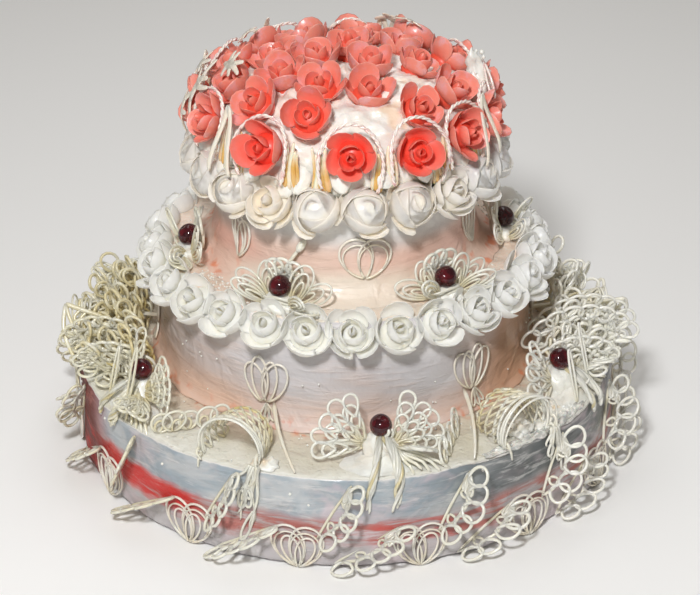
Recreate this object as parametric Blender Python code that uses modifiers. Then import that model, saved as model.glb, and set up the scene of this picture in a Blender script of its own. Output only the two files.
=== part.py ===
# Three-tier celebration cake with a domed crown of coral roses, as separate closed solids.
# Metres, +Z up, the front of the cake towards -Y, origin at the centre of the base.
# Azimuths are degrees from the front, positive to the right seen from the front.

import math

import bmesh
import bpy
from mathutils import Matrix, Vector

GAP = 0.0003                       # clearance between pieces that touch

# The three tiers
BOTTOM_RADIUS = 0.236
BOTTOM_BASE_RADIUS = 0.239
BOTTOM_BASE_SHIFT = (0.004, -0.003)   # the base stands a little to the right and front
BOTTOM_TOP = 0.083
MIDDLE_RADIUS = 0.161
MIDDLE_FOOT_RADIUS = 0.171
MIDDLE_TOP = 0.182
TOP_RADIUS = 0.112
TOP_FOOT_RADIUS = 0.124
TOP_LIP_RADIUS = 0.121
TOP_TOP = 0.275
TIER_EDGE = (0.007, 0.008)         # rounded rim: in from the wall, down from the top
BOTTOM_WAIST = (0.0005, 0.040)     # slight bulge of the wall, and its height
BOTTOM_FOOT = (0.002, 0.005)       # undercut at the base, and its height
MIDDLE_WAIST = (0.002, 0.014)
TOP_WAIST = (0.001, 0.028)
TOP_LIP = (0.004, 0.007, 0.030)    # rounding in and down, and how far down the lip reaches
BOTTOM_STEPS = 48
MIDDLE_STEPS = 40
TOP_STEPS = 32

# Crown: whipped cream mound and its roses, ring by ring (radius, height, elevation, azimuths)
MOUND_RADIUS = 0.118
MOUND_HEIGHT = 0.071
MOUND_ARC = (82, 66, 48, 28, 10)   # angles of the dome's profile points
MOUND_POWERS = (0.62, 0.8)         # squareness of the dome across and up
MOUND_STEPS = 24
CROWN_ROSE_RADIUS = 0.0205
CROWN_RINGS = (
    (0.127, 0.314, 20, (-91, -66, -33, 2, 28, 52, 75, 98, 124, 151, 178, -152, -122)),
    (0.099, 0.336, 46, (-104, -77, -49, -18, 38, 66, 116, 144, 172, -160, -132)),
    (0.062, 0.348, 68, (-58, -20, 18, 88, 130, 168, -142, -100)),
    (0.026, 0.354, 84, (50, 175, -75)),
)
PEAK_AZIMUTH = 93                  # pointed lump of cream standing between the roses
PEAK_DISTANCE = 0.112
PEAK_TIP = 0.357
PEAK_LOW = 0.030                   # where the peak starts, above the top tier
PEAK_RADIUS = 0.017
PEAK_SHAPE = ((0, 1), (0.45, 0.72), (1, 0.3), (1, 0), (0, 0))
PEAK_SIDES = 8

# Garlands of white roses on the tier edges
LOWER_GARLAND = {"count": 28, "distance": 0.166, "height": 0.177, "radius": 0.0208,
                 "elevation": 42, "start": 2.0}
UPPER_GARLAND = {"count": 20, "distance": 0.127, "height": 0.269, "radius": 0.0218,
                 "elevation": 30, "start": -10.7}

# One rose in units of its radius; the bud's heights also grow with the rose's fullness
BUD_TOP = 0.36
BUD_RING = (0.62, 0.34)
PETAL_LOBE = 0.06
ROSE_BACK = 0.95
CROWN_ROSE = {"sides": 10, "fullness": 1.0}
GARLAND_ROSE = {"sides": 8, "fullness": 1.4}

# Hand-made scatter: the largest departure either way
GARLAND_SCATTER = {"azimuth": 0.25, "height": 0.0005, "axis": 2, "size": 0.02, "turn": 0.1}
CROWN_SCATTER = {"height": 0.003, "axis": 8, "size": 0.05, "turn": 3}
FAN_SCATTER = {"angle": 5, "length": 0.06}
SIDE_SCATTER = {"azimuth": 1.0, "lean": 8}

# Cherries on the two ledges, each on a lump of cream with lace fans stuck in it
CHERRY_RADIUS = 0.0095
CHERRY_FACETS = (8, 4)
# root_rise is the height of the fans' roots as a share of the lump's height
LOWER_CHERRIES = {"distance": 0.205, "height": 0.113, "root_rise": 0.6,
                  "azimuths": (-57, 8, 63, 122, 180, -118)}
UPPER_CHERRIES = {"distance": 0.1375, "height": 0.200, "root_rise": 0.38,
                  "azimuths": (-77, -23, 37, 92, 150, -143)}
LOWER_LUMP = (0.016, 0.016)        # half widths along and across the ledge
UPPER_LUMP = (0.016, 0.0098)
LUMP_SHAPE = ((0, 1), (0.72, 0.72), (1, 0), (0, 0))
LUMP_SIDES = 8
LACE_THICKNESS = 0.002

# One fan: heading from the ledge's right-hand direction (90 is outwards), its lowest and highest
# angle in its own plane, its length, and its lean (positive tips the top outwards)
LOWER_FANS = (
    (176, 0, 90, 0.047, -18),
    (5, 4, 84, 0.042, -22),
    (17, 8, 62, 0.038, 60),
    (104, -20, 22, 0.038, 0),
    (72, -23, 16, 0.041, 0),
)
UPPER_FANS = (
    (186, 12, 84, 0.036, -10),
    (-6, 12, 88, 0.037, -12),
    (158, 38, 78, 0.034, 16),
    (24, 36, 80, 0.034, 14),
)
FAN_ROOT = 0.0108                  # from the cherry's axis to a fan's root
FAN_CURL = 0.004
FAN_DIP = 0.93                     # how far the hollows of a fan's edge reach
SCALLOPS = 2

# Lace arches on the lower ledge, and lace relief on the walls above them
ARCH_AZIMUTHS = (-24, 40, 93, 151, -148, -88)
ARCH_DISTANCE = 0.215
ARCH_FRONT_RADIUS = 0.027
ARCH_BACK_RADIUS = 0.022
ARCH_DEPTH = 0.034
ARCH_SWEEP = 116                   # degrees from the crown of the arch down to each foot
ARCH_PARTS = 8
RELIEF_OFFSET = 0.0005             # of wall lace from the wall's nominal radius
TULIP_SPREAD = (52, 128)
TULIP_LENGTH = 0.034
TULIP_HEIGHT = 0.106               # of the tulip's root on the middle tier's wall
TOP_LACE_AZIMUTHS = (-50, 8, 66, 122, -178, -110)
TOP_LACE_HEIGHT = 0.221
TOP_LACE_WIDTH = 0.038
TOP_LACE_POINTS = 8

# Side lace: a heart with a low fin on its left and a high fin on its right
SIDE_COUNT = 15
SIDE_START = -10.5
SIDE_OFFSET = 0.0012               # clearance that keeps flat lace off the round wall
HEART_HEIGHT = 0.0245
HEART_WIDTH = 0.042
HEART_POINTS = 10
LOW_FIN = ((-16.5, 0.007), (-3.6, 0.0375))    # azimuth from the heart and height of the spine's ends
HIGH_FIN = ((4.2, 0.030), (11.0, 0.077))
FIN_WIDTH = 0.028
FIN_DIP = 0.88
FIN_SPAN = (0.08, 0.92)            # share of a half turn that a fin's scalloped edge takes
FIN_BULGE = 0.55                   # half length of that edge as a share of the spine
FIN_LEAN = 32

CREAM = (0.90, 0.87, 0.80, 1)
IVORY = (0.83, 0.80, 0.68, 1)
CORAL = (0.90, 0.25, 0.20, 1)
PINK_ICING = (0.86, 0.68, 0.62, 1)
MAROON = (0.13, 0.005, 0.012, 1)


def wobble(index, salt):
    """A repeatable scatter between -1 and 1 for hand-made unevenness."""
    return 2 * (math.sin(index * 12.9898 + salt * 78.233) * 43758.5453 % 1) - 1


def frame_at(azimuth):
    """Directions at an azimuth: outwards, and to the right along the ledge."""
    angle = math.radians(azimuth)
    outwards = Vector((math.sin(angle), -math.cos(angle), 0))
    along = Vector((math.cos(angle), math.sin(angle), 0))
    return outwards, along


def on_wall(radius, azimuth, height):
    return frame_at(azimuth)[0] * radius + Vector((0, 0, height))


def material(name, colour, roughness):
    found = bpy.data.materials.get(name)
    if found:
        return found
    made = bpy.data.materials.new(name)
    made.use_nodes = True
    shader = made.node_tree.nodes["Principled BSDF"]
    shader.inputs["Base Color"].default_value = colour
    shader.inputs["Roughness"].default_value = roughness
    shader.inputs["Metallic"].default_value = 0
    return made


def add_object(name, mesh):
    made = bpy.data.objects.new(name, mesh)
    cake.objects.link(made)
    return made


def finish(piece, finish_material):
    piece.data.materials.clear()
    piece.data.materials.append(finish_material)
    return piece


def bake(piece):
    """Replace the piece's mesh by its evaluated one and drop the modifiers."""
    bpy.context.view_layer.update()
    graph = bpy.context.evaluated_depsgraph_get()
    mesh = bpy.data.meshes.new_from_object(piece.evaluated_get(graph))
    piece.modifiers.clear()
    piece.data = mesh
    return piece


def fuse(core, toppings):
    """Join the toppings to the core by one Boolean union on a collection."""
    group = bpy.data.collections.new(core.name + "_toppings")
    bpy.context.scene.collection.children.link(group)
    for topping in toppings:
        cake.objects.unlink(topping)
        group.objects.link(topping)
    union = core.modifiers.new("Fuse", "BOOLEAN")
    union.operation = "UNION"
    union.operand_type = "COLLECTION"
    union.collection = group
    bake(core)
    for topping in toppings:
        bpy.data.objects.remove(topping)
    bpy.data.collections.remove(group)
    return core


def carve(piece, profile, steps):
    """Cut the piece back from a turned neighbour, leaving the usual clearance."""
    middle = (profile[0][1] + profile[-1][1]) / 2
    grown = [(r + GAP if r else 0, z + GAP if z > middle else z - GAP) for r, z in profile]
    cutter = turned("neighbour", grown, steps)
    cutter.hide_render = True
    cutter.display_type = "WIRE"
    cut = piece.modifiers.new("Clearance", "BOOLEAN")
    cut.operation = "DIFFERENCE"
    cut.object = cutter
    bake(piece)
    bpy.data.objects.remove(cutter)
    return piece


def turned(name, profile, steps):
    """Turn a profile of (radius, height) points, top to bottom, about the Z axis."""
    mesh = bpy.data.meshes.new(name)
    edges = [(i, i + 1) for i in range(len(profile) - 1)]
    mesh.from_pydata([(r, 0, z) for r, z in profile], edges, [])
    made = add_object(name, mesh)
    screw = made.modifiers.new("Turn", "SCREW")
    screw.axis = "Z"
    screw.steps = steps
    screw.render_steps = steps
    screw.use_merge_vertices = True
    screw.merge_threshold = 0.00005
    return bake(made)


def plate(name, rim, thickness):
    """A thin leaf: triangles from the first rim point to all others, thickened by Solidify."""
    bm = bmesh.new()
    bmesh.ops.create_circle(bm, cap_ends=True, cap_tris=True, segments=len(rim), radius=1)
    hub = min(bm.verts, key=lambda v: v.co.length)
    ring = sorted((v for v in bm.verts if v is not hub), key=lambda v: math.atan2(v.co.y, v.co.x))
    for vert, point in zip(ring, rim):
        vert.co = point
    bmesh.ops.pointmerge(bm, verts=[hub, ring[0]], merge_co=rim[0])
    mesh = bpy.data.meshes.new(name)
    bm.to_mesh(mesh)
    bm.free()
    made = add_object(name, mesh)
    solid = made.modifiers.new("Thickness", "SOLIDIFY")
    solid.thickness = thickness
    solid.offset = 0
    return bake(made)


def fan_outline(lowest, highest, length):
    """Flat (along, up) points of a fan: its root, then a scalloped arc."""
    points = [(0, 0)]
    last = 2 * SCALLOPS
    for i in range(last + 1):
        angle = math.radians(lowest + (highest - lowest) * i / last)
        reach = length * (FAN_DIP if i % 2 else 1)
        points.append((reach * math.cos(angle), reach * math.sin(angle)))
    return points


def heart_outline(width, points):
    """Flat heart, point down, from the usual sine and cosine sum."""
    outline = []
    for i in range(points):
        t = 2 * math.pi * i / points
        across = 16 * math.sin(t) ** 3
        up = 13 * math.cos(t) - 5 * math.cos(2 * t) - 2 * math.cos(3 * t) - math.cos(4 * t)
        outline.append((-across * width / 32, up * width / 32))
    return outline


def fin_outline(length, width):
    """Flat (along the spine, outwards) points: straight spine, scalloped far side."""
    points = [(0, 0), (length, 0)]
    last = 2 * SCALLOPS
    first_turn, last_turn = FIN_SPAN
    for i in range(last + 1):
        t = math.pi * (first_turn + (last_turn - first_turn) * i / last)
        reach = width * (FIN_DIP if i % 2 else 1)
        points.append((length * (0.5 + FIN_BULGE * math.cos(t)), reach * math.sin(t)))
    return points


def bottom_profile():
    r, base, h = BOTTOM_RADIUS, BOTTOM_BASE_RADIUS, BOTTOM_TOP
    inset, drop = TIER_EDGE
    bulge, waist = BOTTOM_WAIST
    undercut, foot = BOTTOM_FOOT
    return [(0, h), (r - inset, h), (r, h - drop), (r + bulge, waist),
            (base, foot), (base - undercut, 0), (0, 0)]


def middle_profile():
    r, foot, top = MIDDLE_RADIUS, MIDDLE_FOOT_RADIUS, MIDDLE_TOP
    low = BOTTOM_TOP + GAP
    inset, drop = TIER_EDGE
    bulge, waist = MIDDLE_WAIST
    return [(0, top), (r - inset, top), (r, top - drop), (r + bulge, low + waist),
            (foot, low), (0, low)]


def top_profile():
    r, lip, top = TOP_RADIUS, TOP_LIP_RADIUS, TOP_TOP
    low = MIDDLE_TOP + GAP
    inset, drop, depth = TOP_LIP
    bulge, waist = TOP_WAIST
    return [(0, top), (lip - inset, top), (lip, top - drop), (r, top - depth),
            (r + bulge, low + waist), (TOP_FOOT_RADIUS, low), (0, low)]


def base_shift(height):
    """Sideways shift of the bottom tier at a height: none at its top, full at its base."""
    return Vector((*BOTTOM_BASE_SHIFT, 0)) * (1 - height / BOTTOM_TOP)


def wall_lace(name, outline, radius, azimuth, height):
    """Flat lace pressed on a round wall, half of it sunk in the icing."""
    rim = [on_wall(radius, azimuth + math.degrees(across / radius), height + up)
           for across, up in outline]
    return plate(name, rim, 2 * LACE_THICKNESS)


def make_tiers():
    icing = material("pink_and_white_icing", PINK_ICING, 0.35)
    bottom = turned("tier_bottom", bottom_profile(), BOTTOM_STEPS)
    for vert in bottom.data.vertices:
        vert.co += base_shift(vert.co.z)
    middle = turned("tier_middle", middle_profile(), MIDDLE_STEPS)
    top = turned("tier_top", top_profile(), TOP_STEPS)
    tulip = fan_outline(*TULIP_SPREAD, TULIP_LENGTH)
    tulips = [wall_lace("tulip", tulip, MIDDLE_RADIUS + RELIEF_OFFSET, azimuth, TULIP_HEIGHT)
              for azimuth in ARCH_AZIMUTHS]
    heart = heart_outline(TOP_LACE_WIDTH, TOP_LACE_POINTS)
    hearts = [wall_lace("wall_heart", heart, TOP_RADIUS + RELIEF_OFFSET, azimuth, TOP_LACE_HEIGHT)
              for azimuth in TOP_LACE_AZIMUTHS]
    fuse(middle, tulips)
    fuse(top, hearts)
    for tier in (bottom, middle, top):
        finish(tier, icing)


def rose(place, axis, radius, sides, fullness, turn):
    """A low rose: a raised bud, a rim of petals (five lobes on ten sides), a pointed back."""
    bm = bmesh.new()
    bmesh.ops.create_uvsphere(bm, u_segments=sides, v_segments=3, radius=1)
    lobe = PETAL_LOBE if sides == CROWN_ROSE["sides"] else 0
    for vert in bm.verts:
        spin = math.atan2(vert.co.y, vert.co.x)
        ripple = lobe * math.cos(5 * spin)
        if vert.co.z > 0.99:
            reach, rise = 0, BUD_TOP * fullness
        elif vert.co.z > 0:
            reach, rise = BUD_RING[0], BUD_RING[1] * fullness
        elif vert.co.z > -0.99:
            reach, rise = 1 + ripple, ripple
        else:
            reach, rise = 0, -ROSE_BACK
        vert.co = Vector((reach * math.cos(spin), reach * math.sin(spin), rise)) * radius
    bm.transform(axis.to_track_quat("Z", "Y").to_matrix().to_4x4() @ Matrix.Rotation(turn, 4, "Z"))
    mesh = bpy.data.meshes.new("rose")
    bm.to_mesh(mesh)
    bm.free()
    made = add_object("rose", mesh)
    made.location = place
    return made


def facing(azimuth, elevation):
    tilt = math.radians(elevation)
    return frame_at(azimuth)[0] * math.cos(tilt) + Vector((0, 0, math.sin(tilt)))


def make_garland(name, layout, neighbours):
    loose = GARLAND_SCATTER
    roses = []
    for i in range(layout["count"]):
        azimuth = layout["start"] + 360 * i / layout["count"] + loose["azimuth"] * wobble(i, 1)
        height = layout["height"] + loose["height"] * wobble(i, 2)
        axis = facing(azimuth + loose["axis"] * wobble(i, 3),
                      layout["elevation"] + loose["axis"] * wobble(i, 4))
        size = layout["radius"] * (1 + loose["size"] * wobble(i, 5))
        place = on_wall(layout["distance"], azimuth, height)
        roses.append(rose(place, axis, size, turn=loose["turn"] * wobble(i, 6), **GARLAND_ROSE))
    garland = roses[0]
    garland.name = name
    fuse(garland, roses[1:])
    for profile, steps in neighbours:
        carve(garland, profile, steps)
    return finish(garland, material("white_chocolate_roses", CREAM, 0.4))


def mound_profile():
    r, h = MOUND_RADIUS, MOUND_HEIGHT
    low = TOP_TOP + GAP
    across, up = MOUND_POWERS
    arc = [math.radians(a) for a in MOUND_ARC]
    dome = [(r * math.cos(a) ** across, low + h * math.sin(a) ** up) for a in arc]
    return [(0, low + h)] + dome + [(r, low), (0, low)]


def cream_peak():
    low = TOP_TOP + PEAK_LOW
    h = PEAK_TIP - low
    peak = turned("peak", [(PEAK_RADIUS * r, h * z) for r, z in PEAK_SHAPE], PEAK_SIDES)
    peak.location = on_wall(PEAK_DISTANCE, PEAK_AZIMUTH, low)
    return peak


def make_crown():
    crown = turned("crown_of_roses", mound_profile(), MOUND_STEPS)
    toppings = [cream_peak()]
    loose = CROWN_SCATTER
    index = 0
    for distance, height, elevation, azimuths in CROWN_RINGS:
        for azimuth in azimuths:
            index += 1
            place = on_wall(distance, azimuth, height + loose["height"] * wobble(index, 7))
            axis = facing(azimuth + loose["axis"] * wobble(index, 8),
                          elevation + loose["axis"] * wobble(index, 9))
            size = CROWN_ROSE_RADIUS * (1 + loose["size"] * wobble(index, 10))
            turn = loose["turn"] * wobble(index, 11)
            toppings.append(rose(place, axis, size, turn=turn, **CROWN_ROSE))
    fuse(crown, toppings)
    return finish(crown, material("coral_roses", CORAL, 0.35))


def make_cherry(name, place):
    bm = bmesh.new()
    around, upwards = CHERRY_FACETS
    bmesh.ops.create_uvsphere(bm, u_segments=around, v_segments=upwards, radius=CHERRY_RADIUS)
    mesh = bpy.data.meshes.new(name)
    bm.to_mesh(mesh)
    bm.free()
    mesh.shade_smooth()
    cherry = add_object(name, mesh)
    cherry.location = place
    return finish(cherry, material("glazed_cherry", MAROON, 0.08))


def lace_fan(centre, azimuth, fan, index):
    """One fan, standing on a line that runs out from the cherry's axis."""
    heading, lowest, highest, length, lean = fan
    outwards, along = frame_at(azimuth)
    turn = math.radians(heading + FAN_SCATTER["angle"] * wobble(index, 12))
    level = along * math.cos(turn) + outwards * math.sin(turn)
    tip = math.radians(lean + FAN_SCATTER["angle"] * wobble(index, 13))
    up = Vector((0, 0, math.cos(tip))) + outwards * math.sin(tip)
    side = level.cross(up).normalized()
    length *= 1 + FAN_SCATTER["length"] * wobble(index, 14)
    root = centre + level * FAN_ROOT
    rim = []
    for out, rise in fan_outline(lowest, highest, length):
        bow = FAN_CURL * math.hypot(out, rise) ** 2 / length ** 2
        rim.append(root + level * out + up * rise + side * bow)
    return plate("fan", rim, LACE_THICKNESS)


def make_cream_fan(name, layout, azimuth, ledge, lump, fans, index):
    """A lump of cream on the ledge with its lace fans."""
    along_half, across_half = lump
    low = ledge + GAP
    top = layout["height"] - CHERRY_RADIUS - GAP
    h = top - low
    cream = turned(name, [(r, h * z) for r, z in LUMP_SHAPE], LUMP_SIDES)
    outwards, along = frame_at(azimuth)
    for vert in cream.data.vertices:
        x, y, z = vert.co
        vert.co = along * x * along_half + outwards * y * across_half + Vector((0, 0, low + z))
        vert.co += outwards * layout["distance"]
    cream.data.flip_normals()
    root = outwards * layout["distance"] + Vector((0, 0, low + h * layout["root_rise"]))
    fuse(cream, [lace_fan(root, azimuth, fan, 10 * index + i) for i, fan in enumerate(fans)])
    return finish(cream, material("cream_and_lace", IVORY, 0.4))


def make_ledge(side, layout, ledge, lump, fans, seed):
    for i, azimuth in enumerate(layout["azimuths"]):
        place = on_wall(layout["distance"], azimuth, layout["height"])
        make_cherry(f"cherry_{side}_{i + 1}", place)
        make_cream_fan(f"cream_fan_{side}_{i + 1}", layout, azimuth, ledge, lump, fans, seed + i)


def make_arch(name, azimuth):
    """A curled sheet of lace standing on its two long edges, mouth outwards."""
    outwards, along = frame_at(azimuth)
    bm = bmesh.new()
    bmesh.ops.create_grid(bm, x_segments=ARCH_PARTS, y_segments=1, size=1)
    foot = math.cos(math.radians(ARCH_SWEEP))
    low = BOTTOM_TOP + GAP + LACE_THICKNESS / 2
    for vert in bm.verts:
        front = (1 - vert.co.y) / 2
        radius = ARCH_BACK_RADIUS + (ARCH_FRONT_RADIUS - ARCH_BACK_RADIUS) * front
        angle = math.radians(ARCH_SWEEP) * vert.co.x
        place = outwards * (ARCH_DISTANCE + ARCH_DEPTH * (front - 0.5))
        place += along * radius * math.sin(angle)
        place.z = low + radius * (math.cos(angle) - foot)
        vert.co = place
    mesh = bpy.data.meshes.new(name)
    bm.to_mesh(mesh)
    bm.free()
    arch = add_object(name, mesh)
    solid = arch.modifiers.new("Thickness", "SOLIDIFY")
    solid.thickness = LACE_THICKNESS
    solid.offset = 0
    bake(arch)
    return finish(arch, material("ivory_lace", IVORY, 0.4))


def beside_wall(azimuth, height):
    """The middle of a lace strand that lies flat against the bottom tier's side."""
    slope = (BOTTOM_BASE_RADIUS - BOTTOM_RADIUS) * (1 - height / BOTTOM_TOP)
    radius = BOTTOM_RADIUS + slope + SIDE_OFFSET + LACE_THICKNESS / 2
    return on_wall(radius, azimuth, height) + base_shift(height)


def lace_fin(start, end, azimuth, lean):
    """A fin whose spine lies on the wall and whose scalloped side stands out."""
    foot = beside_wall(azimuth + start[0], start[1])
    head = beside_wall(azimuth + end[0], end[1])
    outwards, along = frame_at(azimuth + (start[0] + end[0]) / 2)
    tilt = math.radians(lean)
    reach = outwards * math.cos(tilt) + along * math.sin(tilt)
    spine = head - foot
    length = spine.length
    rim = [foot + spine * (u / length) + reach * v for u, v in fin_outline(length, FIN_WIDTH)]
    return plate("fin", rim, LACE_THICKNESS)


def make_side_lace(name, azimuth, index):
    rim = [beside_wall(azimuth + math.degrees(across / BOTTOM_RADIUS), HEART_HEIGHT + up)
           for across, up in heart_outline(HEART_WIDTH, HEART_POINTS)]
    heart = plate(name, rim, LACE_THICKNESS)
    low = lace_fin(*LOW_FIN, azimuth, FIN_LEAN + SIDE_SCATTER["lean"] * wobble(index, 15))
    high = lace_fin(*HIGH_FIN, azimuth, FIN_LEAN + SIDE_SCATTER["lean"] * wobble(index, 16))
    fuse(heart, [low, high])
    return finish(heart, material("ivory_lace", IVORY, 0.4))


def main():
    make_tiers()
    make_garland("rose_garland_lower", LOWER_GARLAND, [(middle_profile(), MIDDLE_STEPS)])
    make_garland("rose_garland_upper", UPPER_GARLAND,
                 [(top_profile(), TOP_STEPS), (mound_profile(), MOUND_STEPS)])
    make_crown()
    make_ledge("lower", LOWER_CHERRIES, BOTTOM_TOP, LOWER_LUMP, LOWER_FANS, 0)
    make_ledge("upper", UPPER_CHERRIES, MIDDLE_TOP, UPPER_LUMP, UPPER_FANS, 20)
    for i, azimuth in enumerate(ARCH_AZIMUTHS):
        make_arch(f"lace_arch_{i + 1}", azimuth)
    for i in range(SIDE_COUNT):
        azimuth = SIDE_START + 360 * i / SIDE_COUNT + SIDE_SCATTER["azimuth"] * wobble(i, 17)
        make_side_lace(f"side_lace_{i + 1:02d}", azimuth, i)


for leftover in list(bpy.data.objects):
    bpy.data.objects.remove(leftover)
cake = bpy.data.collections.new("three_tier_cake")
bpy.context.scene.collection.children.link(cake)
main()
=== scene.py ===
# Three-tier cake with garlands of white roses, ivory lace and a crown of coral roses.
import math

import bpy
import numpy as np
from mathutils import Matrix, Vector


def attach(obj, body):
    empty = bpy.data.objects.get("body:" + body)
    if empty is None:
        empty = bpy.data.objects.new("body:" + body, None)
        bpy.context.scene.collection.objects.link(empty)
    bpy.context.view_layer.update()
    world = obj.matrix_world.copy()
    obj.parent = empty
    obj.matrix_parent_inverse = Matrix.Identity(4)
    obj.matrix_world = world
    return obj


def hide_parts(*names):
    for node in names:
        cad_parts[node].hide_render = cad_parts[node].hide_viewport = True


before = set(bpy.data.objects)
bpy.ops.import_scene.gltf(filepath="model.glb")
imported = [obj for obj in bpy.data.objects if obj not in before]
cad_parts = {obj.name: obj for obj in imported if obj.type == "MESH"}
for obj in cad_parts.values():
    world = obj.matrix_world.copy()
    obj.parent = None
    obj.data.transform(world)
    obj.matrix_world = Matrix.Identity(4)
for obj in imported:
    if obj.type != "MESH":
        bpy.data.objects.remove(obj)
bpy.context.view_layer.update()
print("frame loaded")

shot = {"place": (0, -1.8, 1.0748), "pitch": 27.886, "lens": 118.51, "shift": 0.00643}


def makeCamera():
    lens = bpy.data.cameras.new("view")
    lens.lens = shot["lens"]
    lens.shift_x = shot["shift"]
    camera = bpy.data.objects.new("view", lens)
    camera.location = shot["place"]
    camera.rotation_euler = (math.radians(90 - shot["pitch"]), 0, 0)
    bpy.context.scene.collection.objects.link(camera)
    bpy.context.scene.camera = camera


makeCamera()


# Shared measures of the cake, in metres, with azimuths in degrees from the front
gap = 0.0003
laceDepth = 0.002
lowerLedge, upperLedge, crownFoot = 0.083, 0.182, 0.275
laceFoot = 0.084
bottomTier = {"radius": 0.236, "base": 0.239, "shift": (0.004, -0.003)}


def wobble(index, salt):
    return 2 * (math.sin(index * 12.9898 + salt * 78.233) * 43758.5453 % 1) - 1


def wobbles(index, salt):                    # four steady random numbers for one shape
    return [wobble(index, salt + k) for k in range(4)]


def unit(vector):
    vector = np.asarray(vector, float)
    return vector / np.maximum(np.linalg.norm(vector, axis=-1, keepdims=True), 1e-12)


def outAt(azimuth):
    angle = np.radians(azimuth)
    return np.stack([np.sin(angle), -np.cos(angle), np.zeros_like(angle)], -1)


def alongAt(azimuth):
    angle = np.radians(azimuth)
    return np.stack([np.cos(angle), np.sin(angle), np.zeros_like(angle)], -1)


def axesAt(azimuth):
    return outAt(azimuth), alongAt(azimuth)


upwards = np.array([0.0, 0.0, 1.0])


def polar(radius, azimuth, height):
    azimuth = np.asarray(azimuth, float)
    return outAt(azimuth) * np.asarray(radius)[..., None] + upwards * np.asarray(height)[..., None]


def facing(azimuth, elevation):
    tilt = math.radians(elevation)
    return outAt(azimuth) * math.cos(tilt) + upwards * math.sin(tilt)


def turnedTo(axis):                          # the turn that brings +Z to this axis
    return Vector(axis).to_track_quat("Z", "Y").to_matrix()


def lumps(points, size, seed):               # soft unevenness of about this size, -1 to 1
    waves = 7
    luck = np.random.default_rng(seed)
    total = np.zeros(len(points))
    for _ in range(waves):
        heading = unit(luck.normal(size=3))
        rate = 2 * math.pi / size * luck.uniform(0.6, 1.5)
        total += np.sin(points @ heading * rate + luck.uniform(0, 2 * math.pi))
    return total / math.sqrt(waves * 2)


class Bag:                                   # gathers small shapes into one mesh
    def __init__(self):
        self.points, self.faces, self.tints, self.edges, self.total = [], [], [], [], 0

    def add(self, points, faces, tint=0.0, edge=0.0):
        count = len(points)
        self.points.append(points)
        self.tints.append(np.broadcast_to(tint, count))
        self.edges.append(np.broadcast_to(edge, count))
        for group in faces:
            self.faces += (np.asarray(group) + self.total).tolist()
        self.total += count

    def piece(self, name, finish, slot, *nodes):
        mesh = bpy.data.meshes.new(name)
        mesh.from_pydata(np.concatenate(self.points).tolist(), [], self.faces)
        for title, values in (("tint", self.tints), ("edge", self.edges)):
            layer = mesh.attributes.new(title, "FLOAT", "POINT")
            layer.data.foreach_set("value", np.concatenate(values).astype(np.float32))
        mesh.shade_smooth()
        mesh.materials.append(finish)
        made = bpy.data.objects.new(name, mesh)
        bpy.context.scene.collection.objects.link(made)
        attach(made, "root")
        if nodes:
            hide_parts(*nodes)
        return made


def gridFaces(rows, columns, wrap):          # quads of a grid whose columns may close on themselves
    index = np.arange(rows * columns).reshape(rows, columns)
    right = np.roll(index, -1, 1) if wrap else index[:, 1:]
    left = index if wrap else index[:, :-1]
    return np.stack([left[:-1], left[1:], right[1:], right[:-1]], -1).reshape(-1, 4)


def skinFaces(rows, columns, flip=False):    # closed rings, with a point before the first and one after the last
    index = np.arange(rows * columns).reshape(rows, columns)
    first = np.stack([np.full(columns, index.size), index[0], np.roll(index[0], -1)], -1)
    last = np.stack([np.full(columns, index.size + 1), np.roll(index[-1], -1), index[-1]], -1)
    faces = [gridFaces(rows, columns, True), first, last]
    return [group[:, ::-1] for group in faces] if flip else faces


def strand(bag, path, radius, normal, tint=0.0, sides=6, flat=1.0):       # a tube along the path
    count = len(path)
    tangent = unit(np.gradient(path, axis=0))
    side = unit(np.cross(tangent, np.broadcast_to(normal, path.shape)))
    up = np.cross(side, tangent)
    radius = np.broadcast_to(radius, count).astype(float)
    radius[[0, -1]] *= 0.6
    turn = np.linspace(0, 2 * math.pi, sides, endpoint=False)
    ring = side[:, None] * np.cos(turn)[None, :, None] + flat * up[:, None] * np.sin(turn)[None, :, None]
    points = (path[:, None] + ring * radius[:, None, None]).reshape(-1, 3)
    last = (count - 1) * sides
    caps = np.array([list(range(sides)), [last + k for k in reversed(range(sides))]])
    bag.add(points, [gridFaces(count, sides, True), caps], np.repeat(np.broadcast_to(tint, count), sides))


def blob(bag, centre, size, axis=upwards, rings=10, sides=16, rough=0.0, seed=1):
    tilt = np.linspace(0, math.pi, rings)
    turn = np.linspace(0, 2 * math.pi, sides, endpoint=False)
    local = np.stack([np.outer(np.sin(tilt), np.cos(turn)), np.outer(np.sin(tilt), np.sin(turn)),
                      np.outer(np.cos(tilt), np.ones(sides))], -1)
    local = local[1:-1].reshape(-1, 3)
    local = np.concatenate([local, [[0, 0, 1], [0, 0, -1]]])
    if rough:
        local = local * (1 + rough * lumps(local, 1.1, seed)[:, None])
    turned = np.array(turnedTo(axis))
    points = (local * np.asarray(size)) @ turned.T + centre
    bag.add(points, skinFaces(rings - 2, sides))


def srgb(red, green, blue):
    shares = [v / 255 for v in (red, green, blue)]
    return (*[v / 12.92 if v < 0.04045 else ((v + 0.055) / 1.055) ** 2.4 for v in shares], 1)


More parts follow.
